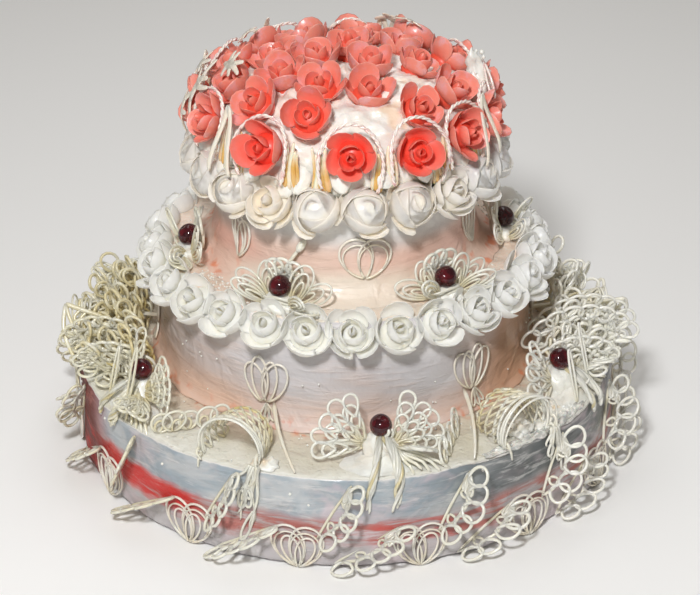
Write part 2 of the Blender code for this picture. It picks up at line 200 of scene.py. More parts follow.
class Flow:                                  # a socket that adds its own nodes in sums
    def __init__(self, finish, socket):
        self.finish, self.socket = finish, socket

    def sum(self, operation, first, second):
        return self.finish.node("ShaderNodeMath", {"operation": operation}, {0: first, 1: second})

    def __add__(self, other):
        return self.sum("ADD", self, other)

    def __radd__(self, other):
        return self.sum("ADD", other, self)

    def __sub__(self, other):
        return self.sum("SUBTRACT", self, other)

    def __rsub__(self, other):
        return self.sum("SUBTRACT", other, self)

    def __mul__(self, other):
        return self.sum("MULTIPLY", self, other)

    def __truediv__(self, other):
        return self.sum("DIVIDE", self, other)

    def least(self, other):
        return self.sum("MINIMUM", self, other)

    def most(self, other):
        return self.sum("MAXIMUM", self, other)


class Finish:                                # one material and the nodes that make it
    def __init__(self, name, **constants):
        self.material = bpy.data.materials.new(name)
        self.material.use_nodes = True
        self.tree = self.material.node_tree
        self.shader = self.tree.nodes["Principled BSDF"]
        for title, value in constants.items():
            self.shader.inputs[title.replace("_", " ")].default_value = value

    def node(self, kind, settings=None, inputs=None, output=0):
        made = self.tree.nodes.new(kind)
        for title, value in (settings or {}).items():
            setattr(made, title, value)
        for title, value in (inputs or {}).items():
            if isinstance(value, Flow):
                self.tree.links.new(value.socket, made.inputs[title])
            else:
                made.inputs[title].default_value = value
        return Flow(self, made.outputs[output])

    def feed(self, **flows):
        for title, flow in flows.items():
            self.tree.links.new(flow.socket, self.shader.inputs[title.replace("_", " ")])
        return self.material

    def place(self):
        return self.node("ShaderNodeTexCoord", output=3)

    def split(self, vector):
        return [self.node("ShaderNodeSeparateXYZ", None, {0: vector}, k) for k in range(3)]

    def join(self, x, y, z):
        return self.node("ShaderNodeCombineXYZ", None, {0: x, 1: y, 2: z})

    def mark(self, name):
        return self.node("ShaderNodeAttribute", {"attribute_name": name}, None, 2)

    def noise(self, vector, scale, detail, rough=0.5, warp=0):
        return self.node("ShaderNodeTexNoise", None, {
            "Vector": vector, "Scale": scale, "Detail": detail, "Roughness": rough, "Distortion": warp})

    def cells(self, vector, scale):
        return self.node("ShaderNodeTexVoronoi", None, {"Vector": vector, "Scale": scale})

    def step(self, value, low, high):        # smooth 0 to 1 between the two values
        return self.node("ShaderNodeMapRange", {"interpolation_type": "SMOOTHSTEP"},
                         {0: value, 1: low, 2: high})

    def mix(self, low, high, factor):
        return self.node("ShaderNodeMix", {"data_type": "RGBA"}, {0: factor, 6: low, 7: high}, 2)

    def bump(self, height, depth, strength):
        return self.node("ShaderNodeBump", None, {"Strength": strength, "Distance": depth, "Height": height})


icingLook = {
    "blush": srgb(208, 190, 196), "lilac": srgb(200, 197, 200), "peach": srgb(226, 192, 172),
    "pink": srgb(226, 178, 164), "tan": srgb(204, 158, 128), "ivory": srgb(212, 207, 190),
    "white": srgb(227, 226, 217), "chalk": srgb(212, 211, 209), "glint": srgb(222, 112, 52),
    "steel": srgb(152, 164, 173), "red": srgb(206, 26, 14), "slate": srgb(70, 72, 69),
    "brick": srgb(112, 40, 28), "rose": srgb(178, 106, 98), "foam": srgb(182, 177, 179),
    "cream": srgb(231, 219, 205), "pearlSheen": srgb(228, 225, 220),
}
icingBody = {"Subsurface_Weight": 0.12, "Subsurface_Scale": 0.004, "Subsurface_Radius": (1, 0.85, 0.7),
             "Coat_Roughness": 0.12}


def icingFields(finish):
    spot = finish.place()
    x, y, z = finish.split(spot)
    azimuth = finish.node("ShaderNodeMath", {"operation": "ARCTAN2"}, {0: x, 1: 0 - y})
    strokes = finish.noise(finish.join(x * 10, y * 10, z * 90), 2.4, 4, 0.6, 0.3)
    patches = finish.noise(spot, 13, 2, 0.5)
    return spot, azimuth, z, strokes, patches


def roundFields(finish, spot):               # distance from the axis, and fields that run round without a seam
    x, y, z = finish.split(spot)
    radius = finish.node("ShaderNodeMath", {"operation": "SQRT"}, {0: x * x + y * y})

    def band(turn, rise):
        return finish.join(x / radius * turn, y / radius * turn, z * rise)
    return radius, band


def icingBump(finish, spot, strokes, ledge, rumples=0.0):
    grain = finish.noise(spot, 240, 2, 0.6)
    bubbles = 1 - finish.step(finish.cells(spot, 150), 0.08, 0.3)
    waves = finish.noise(spot, 55, 3, 0.55)
    smears = finish.noise(spot, 24, 3, 0.5, 1.2)
    wall = strokes * 0.3 + smears * 1.7 + grain * 0.12 + finish.step(strokes, 0.54, 0.58) * 0.06
    flat = waves * 1.8 + bubbles * 0.22 + grain * 0.25
    return finish.bump(wall * (1 - ledge) + flat * ledge + rumples, 0.0026, 0.8)


def bottomIcing():
    look = icingLook
    finish = Finish("bottomIcing", **icingBody)
    spot, azimuth, z, strokes, patches = icingFields(finish)
    radius, band = roundFields(finish, spot)
    ledge = finish.step(finish.mark("edge"), 0.3, 0.7)
    foot = 1 - finish.step(radius, 0.168, 0.198)
    crease = 1 - finish.step(radius, 0.170, 0.181)
    left = finish.step(0 - azimuth, 0.98, 1.19) * (1 - finish.step(0 - azimuth, 2.3, 2.9))
    front = finish.step(0 - azimuth, -0.1, 0.7) * (1 - finish.step(0 - azimuth, 2.2, 2.9))
    right = finish.step(azimuth, 0.14, 0.66) * (1 - finish.step(azimuth, 2.1, 2.9))
    brush = finish.noise(band(3, 95), 1.6, 4, 0.65, 0.5)
    spread = finish.noise(band(6, 12), 1.0, 2, 0.5)
    smear = finish.noise(band(4, 42), 1.5, 5, 0.7, 1.0)
    tone = finish.noise(band(2.6, 16), 1.3, 3, 0.6, 0.8)
    level = z + (spread - 0.5) * 0.020 + (brush - 0.5) * 0.022
    stripe = finish.step(level, 0.018, 0.030) * (1 - finish.step(level, 0.042, 0.052))
    stripe = (stripe * finish.step(brush + front * 0.16, 0.40, 0.62)).most(left * finish.step(brush + 0.3, 0.3, 0.6))
    # the upper band turns slate on the right flank: partly its own darker colour, partly painted shade
    slate = finish.mix(look["steel"], look["slate"], right * 0.85)
    slate = finish.mix(slate, look["foam"], finish.step(smear, 0.46, 0.64) * (0.5 - right * 0.4))
    slate = finish.mix(slate, look["chalk"], finish.step(brush + smear * 0.3, 0.68, 0.82) * 0.5)
    side = finish.mix(look["foam"], slate, finish.step(level, 0.036, 0.054))
    side = finish.mix(side, look["chalk"], finish.step(smear, 0.58, 0.74) * 0.35)
    side = finish.mix(side, look["blush"], finish.step(tone, 0.50, 0.66) * 0.55)
    side = finish.mix(side, look["chalk"], finish.step(tone, 0.52, 0.34) * (0.5 - right * 0.4))
    middle = finish.step(azimuth, 0.0, 0.16) * (1 - finish.step(azimuth, 0.30, 0.50))
    heat = brush * 0.6 + front * finish.step(0 - azimuth, 0.30, 0.75) * 0.5 + left * 0.5 + middle * 0.15
    soft = finish.mix(look["rose"], look["red"], finish.step(heat, 0.40, 0.66))
    # the stripe turns dark brick on the left flank: partly its own colour, partly painted shade
    soft = finish.mix(soft, look["brick"], left)
    soft = finish.mix(soft, look["rose"], left * finish.step(smear, 0.50, 0.66) * 0.6)
    low = 1 - finish.step(level, 0.040, 0.060)
    soft = finish.mix(soft, look["red"], left * finish.step(brush, 0.52, 0.66) * low * 0.7)
    soft = finish.mix(soft, look["foam"], left * finish.step(tone, 0.56, 0.68) * 0.6)
    side = finish.mix(side, soft, stripe * 0.95)
    # a white line along the tier's rim: partly white icing, partly a painted highlight
    rim = finish.step(finish.mark("tint") + (finish.noise(band(9, 60), 1.0, 4, 0.6) - 0.5) * 1.2, 0.30, 0.55)
    side = finish.mix(side, look["pearlSheen"], rim * 0.9)
    flat = finish.mix(look["ivory"], look["white"], finish.step(patches + (radius - 0.21) * 6, 0.40, 0.62))
    flat = finish.mix(flat, look["peach"], foot * finish.step(patches, 0.30, 0.60) * 0.4)
    flat = finish.mix(flat, look["glint"], crease * finish.step(finish.noise(spot, 85, 2), 0.52, 0.72) * 0.7)
    colour = finish.mix(side, flat, ledge)
    foil = rim * finish.step(azimuth, 0.30, 0.60) * (1 - ledge)
    rough = 0.40 - ledge * 0.16 + patches * 0.1 - rim * 0.1 - foil * 0.15 + left * (1 - ledge) * 0.25
    dull = left.most(stripe * 0.8) * (1 - ledge)
    coat = ledge * 0.35 + (finish.step(smear, 0.46, 0.60) * 0.6 + 0.1) * (1 - dull * 0.9) + rim * 0.5
    rumples = foil * finish.noise(spot, 130, 3, 0.6) * 3
    return finish.feed(Base_Color=colour, Roughness=rough, Coat_Weight=coat,
                       Normal=icingBump(finish, spot, strokes, ledge, rumples))


def middleIcing():
    look = icingLook
    finish = Finish("middleIcing", **icingBody)
    spot, azimuth, z, strokes, patches = icingFields(finish)
    ledge = finish.step(finish.mark("edge"), 0.3, 0.7)
    flank = finish.step(azimuth * azimuth, 0.05, 1.3)
    low = 1 - finish.step(z, 0.090, 0.126)
    blush = (flank * 0.35 + low * 0.65 + (patches - 0.5) * 1.2 + (strokes - 0.5) * 0.6).least(1.0).most(0.0)
    side = finish.mix(look["lilac"], look["peach"], blush)
    # the right flank is painted darker tan: partly its own brownish colour, partly painted shade
    shade = finish.step(azimuth, 0.45, 1.0) * (1 - finish.step(azimuth, 2.0, 2.8))
    side = finish.mix(side, look["tan"], shade * finish.step(patches, 0.3, 0.6) * 0.85)
    side = finish.mix(side, look["glint"], (1 - finish.step(z, 0.085, 0.097))
                      * finish.step(finish.noise(spot, 85, 2), 0.52, 0.72) * 0.7)
    # wet smears are glossier and also painted paler: a painted highlight
    wetShine = finish.step(z, 0.138, 0.160) * finish.step(finish.noise(spot, 28, 3, 0.5, 0.8), 0.50, 0.60) * (1 - ledge)
    side = finish.mix(side, look["pearlSheen"], wetShine * 0.35)
    flat = finish.mix(look["cream"], look["peach"], finish.step(patches + flank * 0.1, 0.40, 0.66) * 0.5)
    pearls = finish.cells(spot, 330)
    flat = finish.mix(flat, look["white"], (1 - finish.step(pearls, 0.2, 0.5)) * 0.5)
    colour = finish.mix(side, flat, ledge)
    rough = 0.44 - ledge * 0.2 + patches * 0.1 - wetShine * 0.2
    coat = wetShine * 0.6 + ledge * 0.25 + finish.step(strokes * 0.5 + patches * 0.5, 0.45, 0.6) * 0.6 + 0.12
    return finish.feed(Base_Color=colour, Roughness=rough, Coat_Weight=coat,
                       Normal=icingBump(finish, spot, strokes, ledge))


def topIcing():
    look = icingLook
    finish = Finish("topIcing", **icingBody)
    spot, azimuth, z, strokes, patches = icingFields(finish)
    blushed = finish.step(z, 0.194, 0.212) * (1 - finish.step(z + (patches - 0.5) * 0.02, 0.226, 0.242))
    flank = finish.step(azimuth * azimuth, 0.1, 1.2)
    blush = (blushed * 0.65 + flank * 0.45 + (patches - 0.5) * 0.9).least(1.0).most(0.0)
    high = finish.step(z + (patches - 0.5) * 0.03, 0.214, 0.234)
    pale = finish.mix(look["cream"], look["peach"], finish.step(patches + flank * 0.1, 0.40, 0.66) * 0.5)
    pale = finish.mix(pale, look["chalk"], high)
    # wet patches under the garland are glossier and also painted much paler: a painted highlight
    wetShine = finish.step(z, 0.228, 0.245) * finish.step(finish.noise(spot, 30, 3, 0.5, 0.8), 0.50, 0.60)
    side = finish.mix(pale, look["pink"], blush * (0.9 - high * 0.6))
    side = finish.mix(side, look["glint"], flank * (1 - finish.step(z, 0.190, 0.210))
                      * finish.step(finish.noise(spot, 75, 2), 0.52, 0.72) * 0.7)
    side = finish.mix(side, look["pearlSheen"], wetShine * 0.8)
    rough = 0.36 + patches * 0.15 - wetShine * 0.2
    return finish.feed(Base_Color=side, Roughness=rough, Coat_Weight=high * 0.2 + wetShine * 0.5 + 0.12,
                       Normal=icingBump(finish, spot, strokes, high * 0.5))


def creamFinish():
    finish = Finish("whippedCream", Subsurface_Weight=0.2, Subsurface_Scale=0.004, Subsurface_Radius=(1, 0.85, 0.7),
                    Coat_Roughness=0.15)
    spot = finish.place()
    patches = finish.noise(spot, 45, 3, 0.5, 0.4)
    shine = finish.noise(spot, 90, 2)
    colour = finish.mix(srgb(236, 236, 230), srgb(238, 224, 204), finish.step(patches, 0.45, 0.75) * 0.5)
    colour = finish.mix(colour, srgb(226, 184, 110), finish.step(finish.noise(spot, 34, 2), 0.60, 0.74) * 0.4)
    height = patches * 0.8 + finish.noise(spot, 260, 3, 0.6) * 0.35
    return finish.feed(Base_Color=colour, Roughness=0.25 + shine * 0.3, Coat_Weight=0.15 + shine * 0.4,
                       Normal=finish.bump(height, 0.0025, 0.8))


def whiteRoseFinish(name, foldShade, petal, rim):
    finish = Finish(name, Subsurface_Weight=0.6, Subsurface_Scale=0.008, Subsurface_Radius=(1, 0.92, 0.75),
                    Coat_Roughness=0.2)
    spot = finish.place()
    edge, tint = finish.mark("edge"), finish.mark("tint")
    patches = finish.noise(spot, 60, 2)
    # painted shade: petals are darker and yellower towards their base, where they fold together, and a little paler at
    # the rim
    colour = finish.mix(foldShade, petal, finish.step(edge + (patches - 0.5) * 0.3, 0.0, 0.50))
    colour = finish.mix(colour, rim, finish.step(edge, 0.3, 0.8) * 0.5)
    colour = finish.mix(colour, srgb(232, 226, 208), tint * 0.3)
    # painted light: roses on the cake's right side are painted whiter
    colour = finish.mix(colour, srgb(253, 253, 249), finish.step(finish.split(spot)[0], 0.04, 0.13) * 0.6)
    height = finish.noise(spot, 300, 2, 0.6) * 0.5 + patches
    return finish.feed(Base_Color=colour, Roughness=0.34 + patches * 0.18, Coat_Weight=patches * 0.3 + 0.05,
                       Normal=finish.bump(height, 0.0008, 0.5))


def coralFinish():
    finish = Finish("coralRose", Subsurface_Weight=0.15, Subsurface_Scale=0.004, Coat_Roughness=0.2)
    spot = finish.place()
    edge, tint = finish.mark("edge"), finish.mark("tint")
    patches = finish.noise(spot, 85, 3, 0.55)
    petal = finish.mix(srgb(228, 88, 66), srgb(238, 146, 128), finish.step(edge + (patches - 0.5) * 0.3, 0.0, 0.80))
    deep = finish.mix(srgb(236, 70, 52), srgb(240, 132, 116), finish.step(edge + (patches - 0.5) * 0.25, 0.15, 0.95))
    colour = finish.mix(petal, deep, tint)
    # pearl dust on the petal tips: partly its own pale pink colour, partly a painted sheen
    pearlSheen = finish.step(patches, 0.46, 0.66) * finish.step(edge, 0.45, 0.9) * (1 - tint * 0.75)
    colour = finish.mix(colour, srgb(234, 186, 196), pearlSheen * 0.6)
    colour = finish.mix(colour, srgb(240, 164, 150), finish.step(edge, 0.88, 1.0) * (0.45 - tint * 0.3))
    height = finish.noise(spot, 330, 2, 0.6) * 0.5 + patches
    return finish.feed(Base_Color=colour, Roughness=0.42 - pearlSheen * 0.2, Coat_Weight=0.08 + pearlSheen * 0.5,
                       Normal=finish.bump(height, 0.0008, 0.6))


def laceFinish(name, body, root, left=None, right=None):
    finish = Finish(name, Subsurface_Weight=0.45, Subsurface_Scale=0.005, Subsurface_Radius=(1, 0.95, 0.8),
                    Coat_Roughness=0.12)
    spot = finish.place()
    tint = finish.mark("tint")
    patches = finish.noise(spot, 70, 3)
    if left:                                 # the lace is painted a little darker and more olive on the cake's left, as painted shade, and whiter on its right, as painted light
        turn = finish.split(spot)[0]
        body = finish.mix(finish.mix(left, body, finish.step(turn, -0.19, -0.08)), right, finish.step(turn, 0.08, 0.19))
    colour = finish.mix(body, root, (tint * 0.9 + (patches - 0.5) * 0.5).least(1.0).most(0.0))
    colour = finish.mix(colour, srgb(236, 237, 226), finish.step(patches, 0.45, 0.65) * 0.6)
    height = finish.noise(spot, 420, 2, 0.6) * 0.4 + finish.noise(spot, 150, 2)
    return finish.feed(Base_Color=colour, Roughness=0.28 + patches * 0.2, Coat_Weight=0.2 + patches * 0.6,
                       Normal=finish.bump(height, 0.0007, 0.6))


def pearlFinish():
    finish = Finish("pearlStrand", Subsurface_Weight=0.1, Subsurface_Scale=0.002, Coat_Weight=0.8, Coat_Roughness=0.1)
    spot = finish.place()
    patches = finish.noise(spot, 160, 2)
    sheen = finish.node("ShaderNodeLayerWeight", None, {"Blend": 0.4}, 1)
    colour = finish.mix(srgb(242, 232, 224), srgb(226, 180, 176), finish.step(patches + sheen * 0.3, 0.50, 0.85))
    return finish.feed(Base_Color=colour, Roughness=0.18 + patches * 0.2,
                       Normal=finish.bump(finish.noise(spot, 400, 2), 0.0006, 0.6))


def cherryFinish():
    finish = Finish("glazedCherry", Coat_Weight=0.8, Coat_Roughness=0.03, Specular_IOR_Level=0.15)
    spot = finish.place()
    patches = finish.noise(spot, 130, 3, 0.6)
    flecks = finish.step(finish.noise(spot, 620, 2), 0.68, 0.78)
    colour = finish.mix(srgb(52, 6, 15), srgb(90, 14, 25), finish.step(patches, 0.4, 0.7))
    colour = finish.mix(colour, srgb(150, 84, 80), flecks * 0.25)
    return finish.feed(Base_Color=colour, Roughness=0.16 + patches * 0.12,
                       Normal=finish.bump(patches + flecks * 0.1, 0.0008, 0.4))


def wetFinish():
    finish = Finish("wetIcing", Coat_Weight=1.0, Coat_Roughness=0.04, Subsurface_Weight=0.1, Subsurface_Scale=0.003)
    spot = finish.place()
    patches = finish.noise(spot, 160, 3, 0.6)
    colour = finish.mix(srgb(186, 186, 182), srgb(232, 230, 224), finish.step(patches, 0.40, 0.60))
    return finish.feed(Base_Color=colour, Roughness=0.10 + patches * 0.12,
                       Normal=finish.bump(patches + finish.noise(spot, 300, 2) * 0.1, 0.0022, 0.8))


def gelFinish():
    finish = Finish("amberGel", Coat_Weight=1.0, Coat_Roughness=0.05, Subsurface_Weight=0.3, Subsurface_Scale=0.004)
    spot = finish.place()
    patches = finish.noise(spot, 90, 2)
    height = finish.split(spot)[2]
    amber = (finish.mark("tint") * 0.7 + (patches - 0.5) * 0.6 + finish.step(height, 0.318, 0.296) * 0.35).least(1.0)
    colour = finish.mix(srgb(242, 230, 208), srgb(220, 172, 88), finish.step(amber, 0.35, 0.95))
    return finish.feed(Base_Color=colour, Roughness=0.15 + patches * 0.1,
                       Normal=finish.bump(patches, 0.001, 0.6))


materials = {
    "wetShine": wetFinish(), "bottom": bottomIcing(), "middle": middleIcing(), "top": topIcing(), "cream": creamFinish(),
    "lowerRose": whiteRoseFinish("coolWhiteRose", srgb(220, 210, 164), srgb(246, 245, 237), srgb(249, 249, 244)),
    "upperRose": whiteRoseFinish("warmWhiteRose", srgb(246, 224, 186), srgb(255, 243, 224), srgb(255, 251, 240)),
    "coral": coralFinish(),
    "lace": laceFinish("ivoryLace", srgb(232, 231, 218), srgb(206, 184, 116), srgb(224, 219, 194), srgb(248, 246, 234)),
    "heartLace": laceFinish("warmLace", srgb(236, 227, 211), srgb(222, 204, 160)),
    "pearlSheen": pearlFinish(), "cherry": cherryFinish(), "gel": gelFinish(),
}
print("materials made")


def smoothProfile(profile, count, passes):   # points: radius, height, how closely to sample up to the next
    profile = np.asarray(profile, float)
    spans = np.linalg.norm(np.diff(profile[:, :2], axis=0), axis=1) * profile[:-1, 2]
    reach = np.concatenate([[0], np.cumsum(spans)])
    along = np.linspace(0, reach[-1], count)
    line = np.stack([np.interp(along, reach, profile[:, k]) for k in (0, 1)], -1)
    for _ in range(passes):
        line[1:-1] = (line[:-2] + 2 * line[1:-1] + line[2:]) / 4
    return line


def turnedSkin(profile, steps):              # closed turned surface: grid rings and two end points
    turn = np.linspace(0, 360, steps, endpoint=False)
    body = polar(profile[1:-1, 0][:, None], np.broadcast_to(turn, (len(profile) - 2, steps)),
                 profile[1:-1, 1][:, None] * np.ones(steps)).reshape(-1, 3)
    points = np.concatenate([body, [[0, 0, profile[0, 1]], [0, 0, profile[-1, 1]]]])
    return points, skinFaces(len(profile) - 2, steps)


def spreadOut(points, amount):               # moves points away from the axis
    flat = points * np.array([1, 1, 0])
    return points + unit(flat) * amount[:, None] * (np.linalg.norm(flat, axis=1) > 1e-6)[:, None]


def makeTier(name, node, profile, rings, steps, finish, uneven, shift=(0, 0)):
    line = smoothProfile(profile, rings, 3)
    points, faces = turnedSkin(line, steps)
    top, low = line[:, 1].max(), line[:, 1].min()
    radius = np.linalg.norm(points[:, :2], axis=1)
    height = (points[:, 2] - low) / (top - low)
    wall = np.clip(radius / radius.max() * 6 - 4.6, 0, 1)
    points = spreadOut(points, wall * (uneven * lumps(points, 0.11, 3) + 0.3 * uneven * lumps(points, 0.028, 4)))
    flat = np.clip(height * 20 - 18.6, 0, 1) * np.clip(radius / radius.max() * 3, 0, 1)
    points[:, 2] += flat * (0.5 * uneven * lumps(points, 0.05, 5) + 0.35 * uneven * lumps(points, 0.018, 6))
    foot = np.clip(1 - height * 12, 0, 1) * wall
    points = spreadOut(points, foot * 0.0016 * lumps(points, 0.022, 7))
    points[:, :2] += np.outer(1 - height, shift)
    level = line[1:-1, 1] > top - 0.0011             # "edge" marks the flat top, "tint" its outer rim
    corner = line[1:-1][level][-1]
    rim = np.exp(-np.linalg.norm(line[1:-1] - corner, axis=1) / 0.0016)
    bag = Bag()
    tint, edge = np.repeat(rim, steps), np.repeat(level, steps)
    bag.add(points, faces, np.concatenate([tint, [0, 0]]), np.concatenate([edge, [1, 0]]))
    return bag.piece(name, finish, "icing", node)


def makeTiers():
    low, top = 0, lowerLedge
    makeTier("bottomTier", "tier_bottom", [
        (0, top, 0.3), (0.168, top, 0.8), (0.232, top, 5), (0.2360, 0.0815, 5), (0.2368, 0.0775, 1),
        (0.2368, 0.040, 1), (0.2392, 0.006, 2), (0.2376, low, 0.15), (0, low, 1),
    ], 90, 200, materials["bottom"], 0.0016, bottomTier["shift"])
    low, top = lowerLedge + gap, upperLedge
    makeTier("middleTier", "tier_middle", [
        (0, top, 0.3), (0.110, top, 0.8), (0.156, top, 3), (0.161, 0.178, 1), (0.161, 0.172, 1),
        (0.1625, low + 0.016, 1.5), (0.166, low + 0.0055, 2.5), (0.174, low - 0.0010, 0.2), (0, low - 0.0010, 1),
    ], 76, 160, materials["middle"], 0.0014)
    low, top = upperLedge + gap, crownFoot
    makeTier("topTier", "tier_top", [
        (0, top, 0.3), (0.117, top, 1.5), (0.121, 0.268, 1), (0.112, 0.245, 1), (0.1125, low + 0.030, 1),
        (0.1165, low + 0.012, 2), (0.124, low + 0.0030, 2.5), (0.136, low - 0.0012, 0.2), (0, low - 0.0012, 1),
    ], 70, 140, materials["top"], 0.0013)


makeTiers()
print("tiers made")


# A ring: petals, half spread in degrees, then root, near, far and rim as (radius, height), cup, twist, wave, roundness
openRose = {"core": (-0.46, 0.62, 0.48), "thick": 0.08, "pale": 0.0, "rings": (
    (3, 76, (0.03, -0.30), (0.20, -0.12), (0.27, 0.22), (0.10, 0.42), 0.04, 0.18, 0.02, 0.45),
    (3, 64, (0.05, -0.38), (0.52, -0.34), (0.60, 0.06), (0.50, 0.40), 0.14, 0.10, 0.04, 0.55),
    (5, 44, (0.10, -0.50), (0.80, -0.56), (1.00, -0.10), (1.08, 0.26), 0.12, 0.05, 0.06, 0.60),
)}
bowlRose = {"core": (-0.50, 0.66, 0.48), "thick": 0.08, "pale": 0.0, "rings": (
    (2, 100, (0.02, -0.30), (0.18, -0.18), (0.24, 0.16), (0.10, 0.36), 0.00, 0.20, 0.02, 0.40),
    (3, 68, (0.05, -0.38), (0.46, -0.36), (0.56, 0.04), (0.46, 0.42), 0.16, 0.12, 0.04, 0.50),
    (4, 54, (0.10, -0.50), (0.82, -0.60), (1.04, -0.10), (1.04, 0.42), 0.14, 0.06, 0.07, 0.58),
)}
gardenRose = {"core": (-0.34, 0.70, 0.46), "thick": 0.11, "pale": 0.4, "rings": (
    (2, 100, (0.02, -0.20), (0.18, 0.10), (0.28, 0.46), (0.05, 0.62), 0.00, 0.20, 0.02, 0.40),
    (3, 82, (0.05, -0.34), (0.56, -0.20), (0.70, 0.30), (0.40, 0.58), 0.04, 0.16, 0.03, 0.45),
    (4, 56, (0.10, -0.50), (0.90, -0.62), (1.16, -0.06), (1.02, 0.44), 0.12, 0.05, 0.06, 0.62),
)}
pansyRose = {**gardenRose, "rings": (*gardenRose["rings"][:2],
    (3, 62, (0.10, -0.48), (0.74, -0.52), (0.94, 0.02), (0.86, 0.46), 0.12, 0.06, 0.05, 0.60),
    (4, 46, (0.10, -0.50), (0.92, -0.62), (1.14, -0.14), (1.16, 0.26), 0.10, 0.05, 0.07, 0.62),
)}
budRose = {"core": (-0.17, 0.87, 0.76), "thick": 0.10, "pale": 0.7, "rings": (
    (2, 105, (0.02, -0.20), (0.50, 0.10), (0.56, 0.50), (0.14, 0.64), 0.00, 0.16, 0.02, 0.40),
    (3, 88, (0.05, -0.40), (0.86, -0.30), (0.99, 0.27), (0.42, 0.565), 0.02, 0.10, 0.02, 0.62),
    (3, 84, (0.08, -0.50), (0.98, -0.60), (1.12, 0.03), (0.66, 0.47), 0.03, 0.08, 0.03, 0.66),
)}
flared = (3, 42, (0.10, -0.50), (0.98, -0.58), (1.14, -0.14), (1.16, 0.12), 0.14, 0.05, 0.06, 0.80)
flaredBud = {**budRose, "rings": (*budRose["rings"], flared)}
petalGrid = {"across": 10, "along": 8}


def petal(spin, spread, controls, cup, twist, wave, blunt, thickness, luck):
    across, along = petalGrid["across"], petalGrid["along"]
    u, v = np.meshgrid(np.sin(np.linspace(-1.5, 1.5, across)), 1 - np.linspace(1, 0, along) ** 1.7, indexing="ij")
    outline = 1 - blunt * (1 - np.sqrt(1 - np.abs(u) ** 2.3))
    reach = v * outline
    a, b, c, d = [np.asarray(p)[None, None] for p in controls]
    t = reach[..., None]
    line = (1 - t) ** 3 * a + 3 * t * (1 - t) ** 2 * b + 3 * t * t * (1 - t) * c + t ** 3 * d
    ripple = wave * np.sin(2.2 * u + luck.uniform(0, 6)) * reach ** 2
    radius = line[..., 0] * (1 - cup * u * u * reach + twist * u * reach) + ripple
    height = line[..., 1] + 0.6 * wave * np.cos(3.1 * u + luck.uniform(0, 6)) * reach ** 2
    angle = spin + spread * u * (0.55 + 0.45 * np.sqrt(reach))
    skin = np.stack([radius * np.cos(angle), radius * np.sin(angle), height], -1)
    normal = unit(np.cross(np.gradient(skin, axis=0), np.gradient(skin, axis=1)))
    thick = thickness * (1.0 - 0.86 * v ** 2)[..., None]
    inside = skin - normal * thick
    inside[:, -1] = 0.6 * inside[:, -1] + 0.4 * inside[:, -2]      # rounds the rim
    count = across * along
    index = np.arange(count).reshape(across, along)
    quads = gridFaces(across, along, False)
    loop = np.concatenate([index[:, 0], index[-1, 1:], index[-2::-1, -1], index[0, -2:0:-1]])
    after = np.roll(loop, -1)
    rim = np.stack([loop, loop + count, after + count, after], -1)
    faces = np.concatenate([quads, quads[:, ::-1] + count, rim])
    points = np.concatenate([skin.reshape(-1, 3), inside.reshape(-1, 3)])
    return points, faces, np.tile(v.reshape(-1), 2)


def roseShape(design, seed):                 # one rose of radius 1, facing +Z
    luck = np.random.default_rng(seed)
    rings = design["rings"]
    points, faces, edges, total = [], [], [], 0
    spin = luck.uniform(0, 6)
    for level, (count, spread, root, near, far, rim, cup, twist, wave, blunt) in enumerate(rings):
        spin += luck.uniform(0.5, 1.1)
        for k in range(count):
            wide, tall = 1 + luck.uniform(-0.06, 0.06), luck.uniform(-0.07, 0.06)
            tips = (far[0] * wide, far[1] + tall), (rim[0] * wide, rim[1] + tall * 1.3)
            turn = spin + 2 * math.pi * (k + luck.uniform(-0.07, 0.07)) / count
            made = petal(turn, math.radians(spread) * luck.uniform(0.95, 1.07),
                         (root, near, *tips), cup, twist, wave, blunt, design["thick"], luck)
            points.append(made[0])
            faces.append(made[1] + total)
            edges.append(made[2] * (0.5 + 0.5 * level / (len(rings) - 1)))
            total += len(made[0])
    middle, wide, tall = design["core"]
    core = Bag()
    blob(core, np.array([0, 0, middle]), (wide, wide, tall), rings=8, sides=14)
    points.append(core.points[0])
    faces = [np.concatenate(faces)] + [np.array([f for f in core.faces if len(f) == n]) + total for n in (3, 4)]
    edges.append(np.full(core.total, design["pale"]))
    return np.concatenate(points), faces, np.concatenate(edges)


def addRose(bag, shape, place, axis, radius, turn, tint):
    points, faces, edges = shape
    turned = turnedTo(axis) @ Matrix.Rotation(turn, 3, "Z")
    bag.add(points * radius @ np.array(turned).T + place, faces, tint, edges)


lowerGarland = {"count": 28, "distance": 0.166, "height": 0.177, "radius": 0.0208, "elevation": 42, "start": 2.0}
upperGarland = {"count": 20, "distance": 0.127, "height": 0.269, "radius": 0.0218, "elevation": 30, "start": -10.7}


def makeGarland(name, node, layout, shapes, finish):
    bag = Bag()
    for i in range(layout["count"]):
        azimuth = layout["start"] + 360 * i / layout["count"] + 0.25 * wobble(i, 1)
        height = layout["height"] + 0.0005 * wobble(i, 2)
        axis = facing(azimuth + 2 * wobble(i, 3) + 7 * wobble(i, 31),
                      layout["elevation"] + 2 * wobble(i, 4) + 7 * wobble(i, 32))
        size = layout["radius"] * (1 + 0.02 * wobble(i, 5)) * (1 + 0.03 * wobble(i, 33))
        place = polar(layout["distance"], azimuth, height)
        shape = shapes[int(abs(wobble(i, 34)) * 997) % len(shapes)]
        addRose(bag, shape, place, axis, size, 3.1 * wobble(i, 35), 0.25 + 0.25 * wobble(i, 36))
    return bag.piece(name, finish, "white_roses", node)


gardenShapes = [roseShape(pansyRose if k % 3 == 2 else gardenRose, 40 + k) for k in range(6)]
budShapes = [roseShape(flaredBud if k % 2 else budRose, 60 + k) for k in range(6)]
openShapes = [roseShape(bowlRose if k % 2 else openRose, 80 + k) for k in range(8)]
makeGarland("lowerGarland", "rose_garland_lower", lowerGarland, gardenShapes, materials["lowerRose"])
makeGarland("upperGarland", "rose_garland_upper", upperGarland, budShapes + gardenShapes[2:3], materials["upperRose"])

